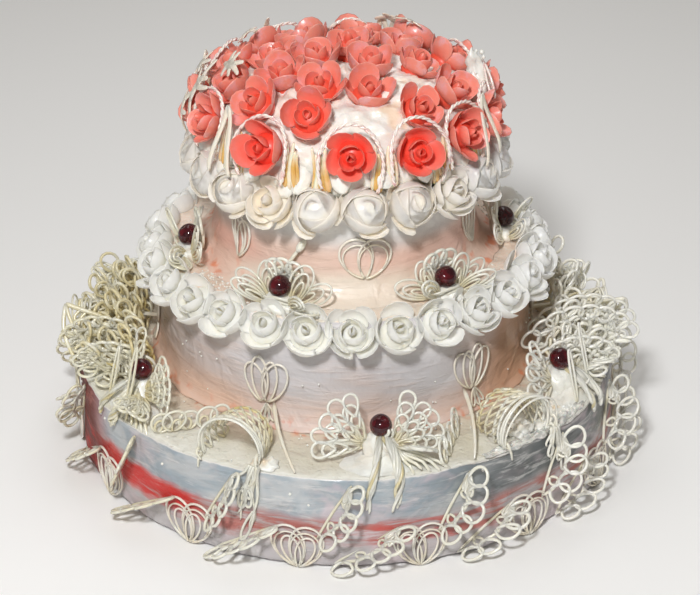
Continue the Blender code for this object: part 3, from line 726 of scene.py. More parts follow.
# Crown rings: radius, height, elevation, azimuths, how deep the coral is
crownRings = (
    (0.127, 0.314, 20, (-91, -66, -33, 2, 28, 52, 75, 98, 124, 151, 178, -152, -122),
     (0.3, 0.35, 1, 1, 0.9, 0.55, 0.4, 0.35, 0.5, 0.8, 0.9, 0.6, 0.4)),
    (0.099, 0.336, 46, (-104, -77, -49, -18, 38, 66, 116, 144, 172, -160, -132),
     (0.1, 0.15, 0.2, 0.25, 0.15, 0.05, 0.1, 0.2, 0.2, 0.2, 0.1)),
    (0.062, 0.348, 68, (-58, -20, 18, 88, 130, 168, -142, -100), (0.12, 0.18, 0.1, 0.12, 0.1, 0.1, 0.1, 0.1)),
    (0.026, 0.354, 84, (50, 175, -75), (0.15, 0.1, 0.12)),
)
mound = {"radius": 0.118, "height": 0.071, "bottom": crownFoot + gap, "across": 0.62, "up": 0.8}


coralPlaces = []


def makeCoralRoses():
    bag = Bag()
    index = 0
    for distance, height, elevation, azimuths, depths in crownRings:
        for azimuth, deep in zip(azimuths, depths):
            index += 1
            place = polar(distance, azimuth, height + 0.003 * wobble(index, 7))
            axis = facing(azimuth + 8 * wobble(index, 8), elevation + 8 * wobble(index, 9))
            size = 0.0205 * (1 + 0.05 * wobble(index, 10))
            coralPlaces.append(place)
            addRose(bag, openShapes[index % len(openShapes)], place, axis, size,
                    3 * wobble(index, 11) + index, deep)
    return bag.piece("coralRoses", materials["coral"], "coral_roses", "crown_of_roses")


def makeMound():
    angles = np.radians(np.linspace(90, 0, 60))
    dome = np.stack([mound["radius"] * np.cos(angles) ** mound["across"],
                     mound["bottom"] + mound["height"] * np.sin(angles) ** mound["up"]], -1)
    profile = np.concatenate([dome, [[0, mound["bottom"]]]])
    profile[0, 0] = 0
    points, faces = turnedSkin(profile, 180)
    near = np.linalg.norm(points[:, None] - np.array(coralPlaces), axis=2).min(axis=1)
    swell = 0.0028 * lumps(points, 0.030, 21) + 0.0022 * lumps(points, 0.014, 22) + 0.0009 * lumps(points, 0.006, 23)
    swell -= 0.0010 + 0.0070 * np.exp(-(near / 0.018) ** 2)
    points = points + unit(points - np.array([0, 0, mound["bottom"] - 0.02])) * swell[:, None]
    bag = Bag()
    bag.add(points, faces)
    for i in range(26):                      # piped ruffles of cream under the lowest roses
        azimuth = 360 * i / 26 + 5 * wobble(i, 51)
        place = polar(0.1185 + 0.002 * wobble(i, 52), azimuth, 0.290 + 0.005 * wobble(i, 53))
        blob(bag, place, (0.0095, 0.013 + 0.003 * wobble(i, 54), 0.0055), facing(azimuth, 35), rough=0.16, seed=300 + i)
    return bag.piece("crownCream", materials["cream"], "coral_roses", "crown_of_roses")


makeCoralRoses()
makeMound()
print("roses made")


class Sheet:                                 # a gently bowed plane that flat lace is drawn on
    def __init__(self, root, level, up, bow=0.0, reach=1.0):
        self.root, self.level, self.up = np.asarray(root), unit(level), unit(up)
        self.side = unit(np.cross(self.level, self.up))
        self.bow, self.reach = bow, reach

    def at(self, flat, lift=0.0):
        across, rise = flat[:, 0], flat[:, 1]
        depth = self.bow * (across ** 2 + rise ** 2) / self.reach ** 2 + lift
        points = self.root + np.outer(across, self.level) + np.outer(rise, self.up) + np.outer(depth, self.side)
        return points, self.side


class Wall:                                  # a round wall that flat lace is pressed on
    def __init__(self, radiusAt, azimuth, height, shiftAt=None):
        self.radiusAt, self.azimuth, self.height, self.shiftAt = radiusAt, azimuth, height, shiftAt

    def at(self, flat, lift=0.0):
        height = self.height + flat[:, 1]
        radius = self.radiusAt(height)
        azimuth = self.azimuth + np.degrees(flat[:, 0] / radius)
        points = polar(radius + lift, azimuth, height)
        if self.shiftAt:
            points = points + self.shiftAt(height)
        return points, outAt(azimuth)


def draw(bag, surface, flat, thick, lift=0.0, tint=0.0):
    points, normal = surface.at(flat, lift)
    strand(bag, points, thick, normal, tint, 5)


def drop(length, width, angle, start, steps, point=1.0, lean=0.0):         # a loop that leaves and meets its start
    turn = np.linspace(0.12, 2 * math.pi - 0.12, steps)
    along = length * (1 - np.cos(turn)) / 2
    across = width / 2 * np.sin(turn) * np.abs(np.sin(turn / 2)) ** point / 0.77
    across = across + lean * along ** 2 / length
    c, s = math.cos(angle), math.sin(angle)
    return np.stack([along, across], -1) @ np.array([[c, s], [-s, c]]) + np.asarray(start)


laceFan = {"thick": 0.00128, "rows": ((5, 0.56, 1.0, 0.0128), (4, 0.34, 0.80, 0.0118), (4, 0.12, 0.58, 0.0095),
                                       (3, 0.0, 0.38, 0.0066)), "rise": 0.0011}


def scaleFan(bag, sheet, low, high, length, seed):
    sweep = math.radians(high - low)
    for row, (count, near, far, width) in enumerate(laceFan["rows"]):
        for k in range(count):
            luck = wobbles(seed * 31 + row * 7 + k, 61)
            share = (k + 0.5 + 0.14 * luck[0]) / count
            angle = math.radians(low) + sweep * share
            start = near * length * np.array([math.cos(angle), math.sin(angle)])
            size = (far - near) * length * (1 + 0.09 * luck[1])
            size = min(size, length * 1.04 - near * length)
            flat = drop(size, width * (1 + 0.12 * luck[2]), angle + 0.12 * luck[3], start, 20)
            tint = np.clip(0.9 - np.linalg.norm(flat, axis=1) / length * 1.6, 0, 1)
            draw(bag, sheet, flat, laceFan["thick"] * (1 + 0.1 * luck[0]),
                 laceFan["rise"] * row + 0.0005 * luck[1], tint)


def nestFan(bag, sheet, low, high, length, seed):
    sweep = math.radians(high - low)
    count = 2 if high > 90 else 1
    for k in range(count):
        luck = wobbles(seed * 37 + k, 65)
        angle = math.radians(low) + sweep * (k + 0.5 + 0.15 * luck[0]) / count
        full = length * (1.0 + 0.05 * luck[1] - 0.10 * (k % 2))
        width = 0.0145 * (1 + 0.15 * luck[2])
        for nest, (share, wide) in enumerate(((1.0, 1.0), (0.80, 0.62), (0.58, 0.30))):
            flat = drop(full * share, width * wide, angle + 0.03 * nest * luck[3], (0, 0), 26, 0.45, 0.10 * luck[3])
            tint = np.clip(0.95 - np.linalg.norm(flat, axis=1) / length * 1.3, 0, 1)
            draw(bag, sheet, flat, 0.0011, 0.0012 * (k % 2) + 0.0004 * nest, tint)


def droopFan(bag, sheet, *rest):             # strands that droop over the edge and hang in a twist
    seed = rest[-1]
    share = np.linspace(0, 1, 26)
    knots = 0, 0.16, 0.40, 0.52, 1
    across = np.interp(share, knots, (-0.006, 0.006, 0.0215, 0.0245, 0.0262))
    hang = 1.0 if seed in (13, 14) else 0.3      # longest at the front
    rise = np.interp(share, knots, (0.011, 0.007, -0.0075, -0.0100 - 0.0035 * hang, -0.0120 - 0.030 * hang))
    for _ in range(3):
        for line in (across, rise):
            line[1:-1] = (line[:-2] + 2 * line[1:-1] + line[2:]) / 4
    count = 4 if seed % 2 else 6
    for k in range(count):
        luck = wobbles(seed * 41 + k, 71)
        stop = 26 - int(3 + 3 * luck[0]) * (k > 0)
        phase = share * (9 + 2 * luck[1]) + 2 * math.pi * k / count
        reach = (0.0016 if count == 4 else 0.0030) * (0.5 + 0.5 * np.sin(share * math.pi))
        side = reach * np.sin(phase) + 0.003 * luck[2] * share ** 2
        flat = np.stack([across + 0.0006 * luck[3] + 0.5 * reach * np.cos(phase), rise], -1)
        points, normal = sheet.at(flat[:stop])
        path = points + np.outer(side[:stop], normal)
        strand(bag, path, 0.0021 - 0.0009 * share[:stop], sheet.level, 0.85 if k == 1 else 0.1, 7)


cherryRadius = 0.0095
lowerCherries = {"distance": 0.205, "height": 0.113, "rootRise": 0.6, "ledge": lowerLedge, "lump": (0.016, 0.016),
                 "azimuths": (-57, 8, 63, 122, 180, -118), "seed": 0}
upperCherries = {"distance": 0.1375, "height": 0.200, "rootRise": 0.38, "ledge": upperLedge, "lump": (0.016, 0.0098),
                 "azimuths": (-77, -23, 37, 92, 150, -143), "seed": 20}
# Fans: heading, lowest and highest angle, length, lean, kind
lowerFans = (
    (176, -8, 80, 0.047, -18, scaleFan), (5, -4, 76, 0.042, -22, scaleFan), (17, 8, 62, 0.038, 60, scaleFan),
    (104, -20, 22, 0.038, 0, droopFan), (72, -23, 16, 0.041, 0, droopFan),
)
upperFans = (
    (186, 14, 96, 0.036, -10, nestFan), (-6, 10, 92, 0.037, -12, nestFan),
    (158, 30, 62, 0.034, 16, nestFan), (24, 16, 60, 0.034, 14, nestFan),
)


def leaningSheet(place, azimuth, turn, lean, bow, reach, aside=0.0):       # turned, then leant outwards
    outwards, along = axesAt(azimuth)
    level = along * math.cos(turn) + outwards * math.sin(turn)
    up = upwards * math.cos(lean) + outwards * math.sin(lean)
    return Sheet(place + level * aside, level, up, bow, reach)


def fanSheet(centre, azimuth, fan, index):
    heading, _, _, length, lean, _ = fan
    turn = math.radians(heading + 5 * wobble(index, 12))
    lean = math.radians(lean + 5 * wobble(index, 13))
    length *= 1 + 0.06 * wobble(index, 14)
    return leaningSheet(centre, azimuth, turn, lean, 0.004, length, 0.0108), length


def creamLump(bag, place, azimuth, size, tall, seed):
    along, across = size
    steps, rings = 28, 13
    tilt = np.linspace(0, math.pi / 2, rings)
    turn = np.linspace(0, 2 * math.pi, steps, endpoint=False)
    swirl = 1 + 0.07 * np.sin(5 * turn[None] + 5 * tilt[:, None])
    reach = np.sin(tilt)[:, None] ** 0.85 * swirl * (0.98 + 0.03 * np.cos(3 * turn + seed))
    rise = tall * np.cos(tilt)[:, None] ** 0.75 * np.ones(steps)
    outwards, side = axesAt(azimuth)
    body = place + (reach * np.cos(turn) * along)[..., None] * side
    body = body + (reach * np.sin(turn) * across)[..., None] * outwards + rise[..., None] * upwards
    points = np.concatenate([body[1:].reshape(-1, 3), [place + upwards * tall, place]])
    rough = 0.0014 * lumps(points, 0.011, seed) + 0.0009 * lumps(points, 0.0045, seed + 1)
    points += unit(points - place) * rough[:, None]
    bag.add(points, skinFaces(rings - 1, steps, True))


def creamSlope(bag, distance, azimuth, low, seed):       # cream that slides from the cherry down to the edge
    steps, rings = 44, 16
    share = np.linspace(1, 0, rings)[:, None]
    turn = np.linspace(0, 2 * math.pi, steps, endpoint=False)
    ragged = 1 + 0.05 * np.sin(3 * turn + seed) + 0.04 * np.sin(7 * turn + 2 * seed)
    along = 0.037 * share * np.cos(turn) * ragged
    out = 0.0085 + 0.0215 * share * np.sin(turn) * np.minimum(ragged, 1.0)
    front = np.clip((out - 0.002) / 0.028, 0, 1)
    column = 0.0165 * np.exp(-(along / 0.0095) ** 2) * (1 - front ** 2 * (3 - 2 * front))
    broad = 0.0050 * np.exp(-((np.abs(along) - 0.015) / 0.014) ** 2)
    rise = (column + broad) * (1 - share ** 4)
    outwards, side = axesAt(azimuth)
    body = polar(distance, azimuth, low) + along[..., None] * side + (out - along ** 2 / 0.46)[..., None] * outwards
    body = body + rise[..., None] * upwards
    points = np.concatenate([body[:-1].reshape(-1, 3), body[-1][:1] - upwards * 0.006, body[-1][:1]])
    soft = np.concatenate([np.broadcast_to(1 - share ** 6, (rings, steps))[:-1].reshape(-1), [0, 1]])
    rough = 0.0010 * lumps(points, 0.013, seed) + 0.0007 * lumps(points, 0.0055, seed + 1)
    points[:, 2] += rough * soft
    slope, under, top = skinFaces(rings - 1, steps)
    bag.add(points, [slope[:, ::-1], under, top])            # so that its thin edge is shaded softly


def makeCherry(name, node, place, azimuth, seed):
    bag = Bag()
    rings, steps = 20, 28
    tilt = np.linspace(0, math.pi, rings)
    turn = np.linspace(0, 2 * math.pi, steps, endpoint=False)
    dent = 1 - 0.16 * np.exp(-(tilt / 0.30) ** 2)
    radius = cherryRadius * dent
    local = np.stack([np.outer(np.sin(tilt) * radius, np.cos(turn)), np.outer(np.sin(tilt) * radius, np.sin(turn)),
                      np.outer(np.cos(tilt) * radius * 0.96, np.ones(steps))], -1)[1:-1].reshape(-1, 3)
    ends = np.array([[0, 0, radius[0] * 0.96], [0, 0, -radius[-1] * 0.96]])
    local = np.concatenate([local, ends])
    local = local * (1 + 0.035 * lumps(local, 0.017, 500 + seed)[:, None])
    turned = np.array(turnedTo(facing(azimuth + 40 * wobble(seed, 91), 60 + 20 * wobble(seed, 92))))
    bag.add(local @ turned.T + place, skinFaces(rings - 2, steps))
    return bag.piece(name, materials["cherry"], "cherry", node)


def makeLedge(side, layout, fans):
    for i, azimuth in enumerate(layout["azimuths"]):
        low = layout["ledge"] + gap
        tall = layout["height"] - cherryRadius - gap - low
        place = polar(layout["distance"], azimuth, low)
        top = place + upwards * (layout["height"] - low)
        makeCherry(f"cherry{side}{i + 1}", f"cherry_{side.lower()}_{i + 1}", top, azimuth, layout["seed"] + i)
        node = f"cream_fan_{side.lower()}_{i + 1}"
        lump = Bag()
        creamLump(lump, place - upwards * 0.0005, azimuth, layout["lump"], tall + 0.0035, 100 + layout["seed"] + i)
        if side == "Lower":                      # a slope of cream down to the edge
            creamSlope(lump, layout["distance"], azimuth, low - 0.0008, 150 + i)
        else:
            beside = polar(layout["distance"] + 0.0065, azimuth + 1.0, low - 0.0006)
            creamLump(lump, beside, azimuth, (0.015, 0.0095), 0.0085, 150 + i)
        lump.piece(f"creamLump{side}{i + 1}", materials["cream"], "cream_and_lace", node)
        lace = Bag()
        centre = place + upwards * tall * layout["rootRise"]
        for k, fan in enumerate(fans):
            index = 10 * (layout["seed"] + i) + k
            sheet, length = fanSheet(centre, azimuth, fan, index)
            fan[5](lace, sheet, fan[1], fan[2], length, index)
        lace.piece(f"laceFans{side}{i + 1}", materials["lace"], "cream_and_lace", node)


makeLedge("Lower", lowerCherries, lowerFans)
makeLedge("Upper", upperCherries, upperFans)
print("ledges made")

archLook = {"azimuths": (-24, 40, 93, 151, -148, -88), "distance": 0.215, "front": 0.027, "back": 0.022,
            "depth": 0.034, "sweep": 116, "thick": 0.0013}


class ArchSheet:                             # curled sheet: across is -1 to 1 round the arch, rise is 0 back to 1 front
    def __init__(self, azimuth):
        self.outwards, self.along = axesAt(azimuth)

    def at(self, flat, lift=0.0):
        look = archLook
        front = flat[:, 1]
        radius = look["back"] + (look["front"] - look["back"]) * front
        angle = math.radians(look["sweep"]) * flat[:, 0]
        foot = math.cos(math.radians(look["sweep"]))
        spread = radius + lift
        height = lowerLedge + gap + laceDepth / 2 + radius * (np.cos(angle) - foot) + lift * np.cos(angle)
        points = np.outer(look["distance"] + look["depth"] * (front - 0.5), self.outwards)
        points = points + np.outer(spread * np.sin(angle), self.along) + np.outer(height, upwards)
        normal = np.outer(np.sin(angle), self.along) + np.outer(np.cos(angle), upwards)
        return points, normal


def makeArches():
    look = archLook
    for i, azimuth in enumerate(look["azimuths"]):
        bag = Bag()
        sheet = ArchSheet(azimuth)
        turn = np.linspace(-1, 1, 36)
        for k, front in enumerate((0.0, 0.30, 0.58, 0.80, 0.91, 1.0)):
            sway = 0.022 * np.sin(turn * 5 + k * 2 + i)
            thick = look["thick"] * (0.85 if k > 3 else 0.95)
            flat = np.stack([turn, np.clip(front + sway, 0, 1)], -1)
            # strands towards the arch's back, here and in the rungs, are tinted golden: partly their own colour, partly
            # painted shade
            tint = np.clip(0.85 - front + 0.2 * np.cos(turn * 3), 0, 1)
            draw(bag, sheet, flat, thick, 0.0006 * (k % 2), tint)
        for band, (near, far, count) in enumerate(((0.0, 0.30, 11), (0.30, 0.58, 12), (0.58, 0.82, 13))):
            for k in range(count):               # slanted rungs that leave oval holes
                middle = -0.92 + 1.84 * (k + 0.5 * (band % 2)) / (count - 0.5)
                ends = np.linspace(0, 1, 8)
                flat = np.stack([middle + 0.075 * np.sin((ends - 0.5) * 2.6), near + (far - near) * ends], -1)
                draw(bag, sheet, flat, look["thick"] * (0.8 + 0.3 * np.abs(2 * ends - 1)), 0.0003, 0.7 - 0.5 * near)
        for k in range(9):                       # scalloped loops along the back edge
            middle = -0.86 + 1.72 * k / 8
            ends = np.linspace(0, math.pi, 12)
            flat = np.stack([middle + 0.10 * np.cos(ends), 0.02 - 0.16 * np.sin(ends)], -1)
            draw(bag, sheet, flat, look["thick"] * 0.75, -0.0008, 0.6)
        if i % 2:                                # a wide hoop before it
            hoop = np.stack([turn * 0.95, 1.14 + 0.10 * np.cos(turn * 2)], -1)
            draw(bag, sheet, hoop, look["thick"] * 0.7, 0.0012, 0.1)
        heap = Bag()                             # cream at its right foot, and a heap of it inside two of them
        creamLump(heap, polar(0.226, azimuth + 7.5, lowerLedge), azimuth + 7.5, (0.0125, 0.0085), 0.0055, 160 + i)
        for k in range(22 if i in (1, 4) else 0):
            size = 0.0042 + 0.0018 * wobble(i * 20 + k, 96)
            place = polar(look["distance"] + 0.013 * wobble(i * 20 + k, 97), azimuth + 4.2 * wobble(i * 20 + k, 98),
                          0.0835 + 0.004 * abs(wobble(i * 20 + k, 99)))
            blob(heap, place, (size, size, size * 0.8), upwards, 9, 14, 0.3, 700 + k)
        heap.piece(f"archCream{i + 1}", materials["cream"], "cream_and_lace")
        outwards, along = axesAt(azimuth)
        edge = bottomTier["radius"] + 0.0022
        for k, (shift, fall) in enumerate(((-1.0, 0.008), (-0.90, 0.005), (0.78, 0.024), (0.93, 0.030))):
            start, _ = sheet.at(np.array([[shift, 1.0]]))
            share = np.linspace(0, 1, 14)[:, None]
            reach = np.hypot(*start[0][:2])
            swing = along * 0.006 * wobble(i * 5 + k, 95)
            rest = start[0] + outwards * max(edge - reach + 0.002, 0.002)
            early = start[0] + (rest - start[0]) * share / 0.35 + upwards * 0.003 * np.sin(share / 0.35 * math.pi)
            path = np.where(share < 0.35, early, rest + (swing - upwards * fall) * (share - 0.35) / 0.65)
            strand(bag, path, look["thick"] * (1.1 - 0.5 * share[:, 0]), along, 0.2)
        bag.piece(f"laceArch{i + 1}", materials["lace"], "lace", f"lace_arch_{i + 1}")


makeArches()

heartLook = {"count": 15, "start": -10.5, "height": 0.0245, "width": 0.043, "tall": 0.0395, "thick": 0.00108,
             "lift": 0.0012}
finLook = {"low": ((-16.5, 0.007), (-3.6, 0.0375)), "high": ((4.2, 0.030), (11.0, 0.077)), "width": 0.028, "lean": 32}


def sideRadius(height):
    slope = (bottomTier["base"] - bottomTier["radius"]) * (1 - height / lowerLedge)
    return bottomTier["radius"] + slope + heartLook["lift"] + laceDepth / 2


def sideShift(height):
    return np.outer(1 - height / lowerLedge, (*bottomTier["shift"], 0))


def besideWall(azimuth, height):
    height = np.atleast_1d(height)
    return (polar(sideRadius(height), np.atleast_1d(azimuth), height) + sideShift(height))[0]


def laceHeart(bag, wall, width, tall, thick, seed, nests=2):
    tip = np.array([0, -0.5 * tall])
    for nest, (size, wide, angle) in enumerate(((0.98, 0.58, 0.37), (0.76, 0.32, 0.36))[:nests]):
        for turn in (-1, 1):
            luck = wobbles(seed * 13 + nest * 3 + turn, 75)
            flat = drop(size * tall * (1 + 0.05 * luck[0]), width * wide * (1 + 0.1 * luck[2]),
                        math.pi / 2 - turn * (angle + 0.05 * luck[1]), tip, 30, 0.5)
            tint = np.clip(0.6 - np.linalg.norm(flat - tip, axis=1) / tall, 0, 1)
            draw(bag, wall, flat, thick * (1 - 0.1 * nest), 0.0006 * nest + 0.0005 * (turn > 0), tint)
            if nest == 0:                        # a thinner arc follows the outer half of each lobe
                part = flat[3:24] if turn > 0 else flat[6:27]
                draw(bag, wall, tip + (part - tip) * 0.86, thick * 0.75, 0.0012, 0.3)


def laceFin(bag, azimuth, start, end, lean, seed):
    foot, head = besideWall(azimuth + start[0], start[1]), besideWall(azimuth + end[0], end[1])
    middle = azimuth + (start[0] + end[0]) / 2
    tilt = math.radians(lean)
    reach = outAt(middle) * math.cos(tilt) + alongAt(middle) * math.sin(tilt)
    length = np.linalg.norm(head - foot)
    width = finLook["width"]
    sheet = Sheet(foot, head - foot, reach)
    along = np.linspace(-0.02, 1.02, 14)
    spine = np.stack([along * length, -0.0012 * np.sin(along * math.pi + 0.5 * wobble(seed, 85))], -1)
    draw(bag, sheet, spine, 0.0014 - 0.0005 * np.abs(along - 0.4), 0.0, 0.25 + 0.35 * along)
    for k in range(3):                           # narrow loops gathered at its head
        angle = math.pi - 0.20 - 0.17 * k + 0.06 * wobble(seed * 5 + k, 86)
        flat = drop(0.0150 + 0.0030 * k, 0.0036, angle, (0.99 * length, 0.0), 15, 0.6)
        draw(bag, sheet, flat, 0.0012, 0.0005 * k, 0.15)
    share = np.linspace(0, 1, 26)
    bulge = 0.40 * width * np.sin(math.pi * share ** 0.85)
    arc = np.stack([share * length, bulge + 0.0008 * np.sin(share * 22 + seed)], -1)
    draw(bag, sheet, arc, 0.0014, 0.0006, 0.25)
    for k in range(5):                           # scallops along the arc, with small loops inside
        luck = wobbles(seed * 17 + k, 81)
        spot = (k + 0.5 + 0.1 * luck[0]) / 5
        begin = np.array([spot * length, 0.34 * width * math.sin(math.pi * spot ** 0.85)])
        reach = width * 0.66 * (0.80 + 0.2 * math.sin(math.pi * spot)) * (1 + 0.1 * luck[1])
        angle = math.pi / 2 + 0.55 - 1.1 * spot + 0.18 * luck[2]
        flat = drop(reach, 0.0145 * (1 + 0.12 * luck[1]), angle, begin, 20, 0.45)
        draw(bag, sheet, flat, 0.00145, 0.0005 * (k % 2), 0.1)
        if k in (1, 3):
            flat = drop(0.32 * width, 0.0062, angle + 0.5 * luck[3], (spot * length, 0.001), 14, 0.6)
            draw(bag, sheet, flat, 0.0012, 0.0008, 0.3)


def makeSideLace():
    for i in range(heartLook["count"]):
        azimuth = heartLook["start"] + 360 * i / heartLook["count"] + wobble(i, 17)
        node = f"side_lace_{i + 1:02d}"
        wall = Wall(sideRadius, azimuth, heartLook["height"] - 0.003, sideShift)
        heart = Bag()
        laceHeart(heart, wall, heartLook["width"], heartLook["tall"], heartLook["thick"], i)
        heart.piece(f"sideHeart{i + 1:02d}", materials["heartLace"], "lace", node)
        fins = Bag()
        for k, (fin, salt) in enumerate(((finLook["low"], 15), (finLook["high"], 16))):
            lean = {(14, 0): -14, (0, 0): -8}.get((i, k), finLook["lean"])
            laceFin(fins, azimuth, *fin, lean + 8 * wobble(i, salt), 2 * i + k)
        fins.piece(f"sideFins{i + 1:02d}", materials["lace"], "lace", node)


makeSideLace()

# Azimuth, distance and length of fans; start, end, distance, height, rows and waves of ruffles;
# azimuth, distance, length, lean and turn of webs
extraLook = {
    "lying": ((-98, 0.205, 0.042), (-74, 0.204, 0.044), (-86, 0.206, 0.042), (72, 0.206, 0.042), (81, 0.204, 0.044),
              (93, 0.206, 0.040), (-128, 0.205, 0.042), (132, 0.205, 0.042), (170, 0.206, 0.040),
              (-168, 0.206, 0.040)),
    "fans": ((-104, 0.208, 0.036), (-128, 0.210, 0.036), (107, 0.208, 0.042), (137, 0.210, 0.042),
             (165, 0.212, 0.042), (-164, 0.210, 0.042)),
    "ruffles": ((-64, -118, 0.184, 0.050, 4, 3), (-68, -112, 0.212, 0.036, 3, 4), (70, 118, 0.186, 0.050, 4, 3),
                (70, 112, 0.212, 0.034, 3, 4), (130, 172, 0.190, 0.046, 4, 3), (-170, -126, 0.190, 0.046, 4, 3)),
    "webs": ((69, 0.207, 0.046, 0.10, 58), (77, 0.207, 0.060, 0.05, 70), (85, 0.203, 0.056, 0.15, 78),
             (-69, 0.206, 0.042, 0.20, -62), (-79, 0.206, 0.047, 0.20, -74), (132, 0.206, 0.052, 0.15, 20),
             (-136, 0.206, 0.050, 0.15, -15), (168, 0.208, 0.050, 0.2, 10)),
    "leaves": (-84, 87, -165), "fall": 0.030,
}


def hangStrands(bag, azimuth, seed, count, spread, slant):          # lace that hangs in a tangle over the edge
    wall = Wall(lambda height: 0.2385 + 0.10 * np.clip(height - 0.080, 0, 1), azimuth, 0.086)
    share = np.linspace(0, 1, 18)
    for k in range(count):
        luck = wobbles(seed * 11 + k, 141)
        across = spread * (((k + 0.5) / count - 0.5) + 0.15 * luck[0])
        fall = extraLook["fall"] * (0.85 + 0.45 * luck[1]) * (1 + 1.2 * abs(slant) / 0.02)
        sway = (0.3 + share) * (0.0022 * np.sin(share * 7 + 3 * luck[2]) + 0.004 * luck[3] * share) + slant * share
        flat = np.stack([across * (0.5 + 0.9 * share) + sway, 0.004 - fall * share], -1)
        draw(bag, wall, flat, 0.0017 - 0.0008 * share, 0.0008 * (k % 3), 0.1 + 0.25 * abs(luck[3]))
        if k % 2:                                # some end in a narrow loop
            flat = drop(fall * 0.5, 0.0055, -math.pi / 2 + 0.4 * luck[0], flat[11], 16, 0.6)
            draw(bag, wall, flat, 0.0012, 0.0015, 0.1)


def standingFan(bag, azimuth, distance, length, lean, turn, seed, height=laceFoot):
    sheet = leaningSheet(polar(distance, azimuth, height), azimuth, turn, lean, 0.005, length)
    scaleFan(bag, sheet, 12, 168, length, seed)


def ruffle(bag, start, end, distance, tall, rows, waves, seed):
    depth, lean, count = 0.010, 0.2, int(abs(end - start) / 3.1)
    for row in range(rows):                      # wavy rows of round loops, one above another
        for k in range(count):
            luck = wobbles(seed * 53 + row * 29 + k, 161)
            share = (k + 0.5 + 0.5 * (row % 2) + 0.25 * luck[0]) / count
            climb = row / (rows - 1)
            spot = start + (end - start) * share
            wave = math.sin(waves * 2 * math.pi * share + seed)
            place = polar(distance + depth * wave * (0.4 + 0.6 * climb) + lean * tall * climb + 0.002 * luck[1],
                          spot, laceFoot + (tall - 0.012) * climb)
            outwards, along = axesAt(spot)
            swing = 0.9 * math.cos(waves * 2 * math.pi * share + seed)
            level = along * math.cos(swing) + outwards * math.sin(swing)
            sheet = Sheet(place, level, upwards + outwards * (0.3 + 0.3 * luck[2]))
            flat = drop(0.0165 * (1 + 0.15 * luck[1]), 0.0130 * (1 + 0.15 * luck[3]),
                        math.pi / 2 + 0.35 * luck[2], (0, 0), 15, 0.3)
            # painted shade: loops on the cake's left and in the lower rows are tinted darker gold, partly their own
            # root colour
            draw(bag, sheet, flat, 0.0015, 0.0, (1.0 if start < 0 else 0.55) - 0.5 * climb + 0.15 * luck[0])


def webFan(bag, azimuth, distance, length, lean, turn, seed):      # a fan filled in like a web
    sheet = leaningSheet(polar(distance, azimuth, laceFoot), azimuth, math.radians(turn), lean, 0.008, length)
    ribs, low, high = 9, 0.55, 2.70
    share = np.linspace(0, 1, 14)
    for k in range(ribs):
        angle = low + (high - low) * k / (ribs - 1) + 0.06 * wobble(seed * 7 + k, 171)
        bend = angle + 0.16 * np.sin(share * 4 + k) * share
        reach = length * (0.80 + 0.08 * math.sin(k * 2 + seed)) * share
        flat = np.stack([reach * np.cos(bend), reach * np.sin(bend)], -1)
        draw(bag, sheet, flat, 0.0014 + 0.0009 * share, 0.0003 * (k % 2), 0.4 - 0.5 * share)
    around = np.linspace(0, 1, 46)
    for k, part in enumerate((0.34, 0.50, 0.64, 0.78)):
        reach = length * (part + 0.035 * np.sin(around * (24 + 5 * k) + seed + k))
        angle = low + (high - low) * around
        flat = np.stack([reach * np.cos(angle), reach * np.sin(angle)], -1)
        draw(bag, sheet, flat, 0.0015 + 0.0005 * np.sin(around * 40 + k), 0.0006, 0.25 - 0.3 * part)
    for k in range(8):                               # loops along its rim
        angle = low + (high - low) * (k + 0.5) / 8
        begin = 0.74 * length * np.array([math.cos(angle), math.sin(angle)])
        flat = drop(0.27 * length, 0.25 * length, angle + 0.15 * wobble(seed + k, 172), begin, 20, 0.2)
        draw(bag, sheet, flat, 0.0014, 0.0008, 0.0)


def leafFrame(bag, azimuth):                     # a big open leaf that leans over the edge
    tip, low = polar(0.2455, azimuth - 0.3, 0.1290), polar(0.2395, azimuth + 7, 0.0865)
    high, inner = polar(0.210, azimuth + 2, 0.1175), polar(0.226, azimuth + 6, 0.094)
    share = np.linspace(0, 1, 16)[:, None]
    bulge = np.sin(share * math.pi)
    outwards = outAt(azimuth)
    for end, swell, thick in ((low, 0.006, 0.0021), (high, 0.001, 0.0022), (inner, 0.004, 0.0018)):
        path = tip + (end - tip) * share + outwards * bulge * swell
        strand(bag, path, thick - 0.0003 * share[:, 0], upwards, 0.2 + 0.3 * share[:, 0])
    for start, end, parts in ((low, inner, (0.45, 0.62, 0.8)), (inner, high, (0.38, 0.52, 0.66, 0.8, 0.92))):
        for part in parts:
            ends = [s + (tip - s) * (1 - part) for s in (start, end)]
            strand(bag, ends[0] + (ends[1] - ends[0]) * share + outwards * 0.003 * bulge, 0.0015, upwards, 0.4)


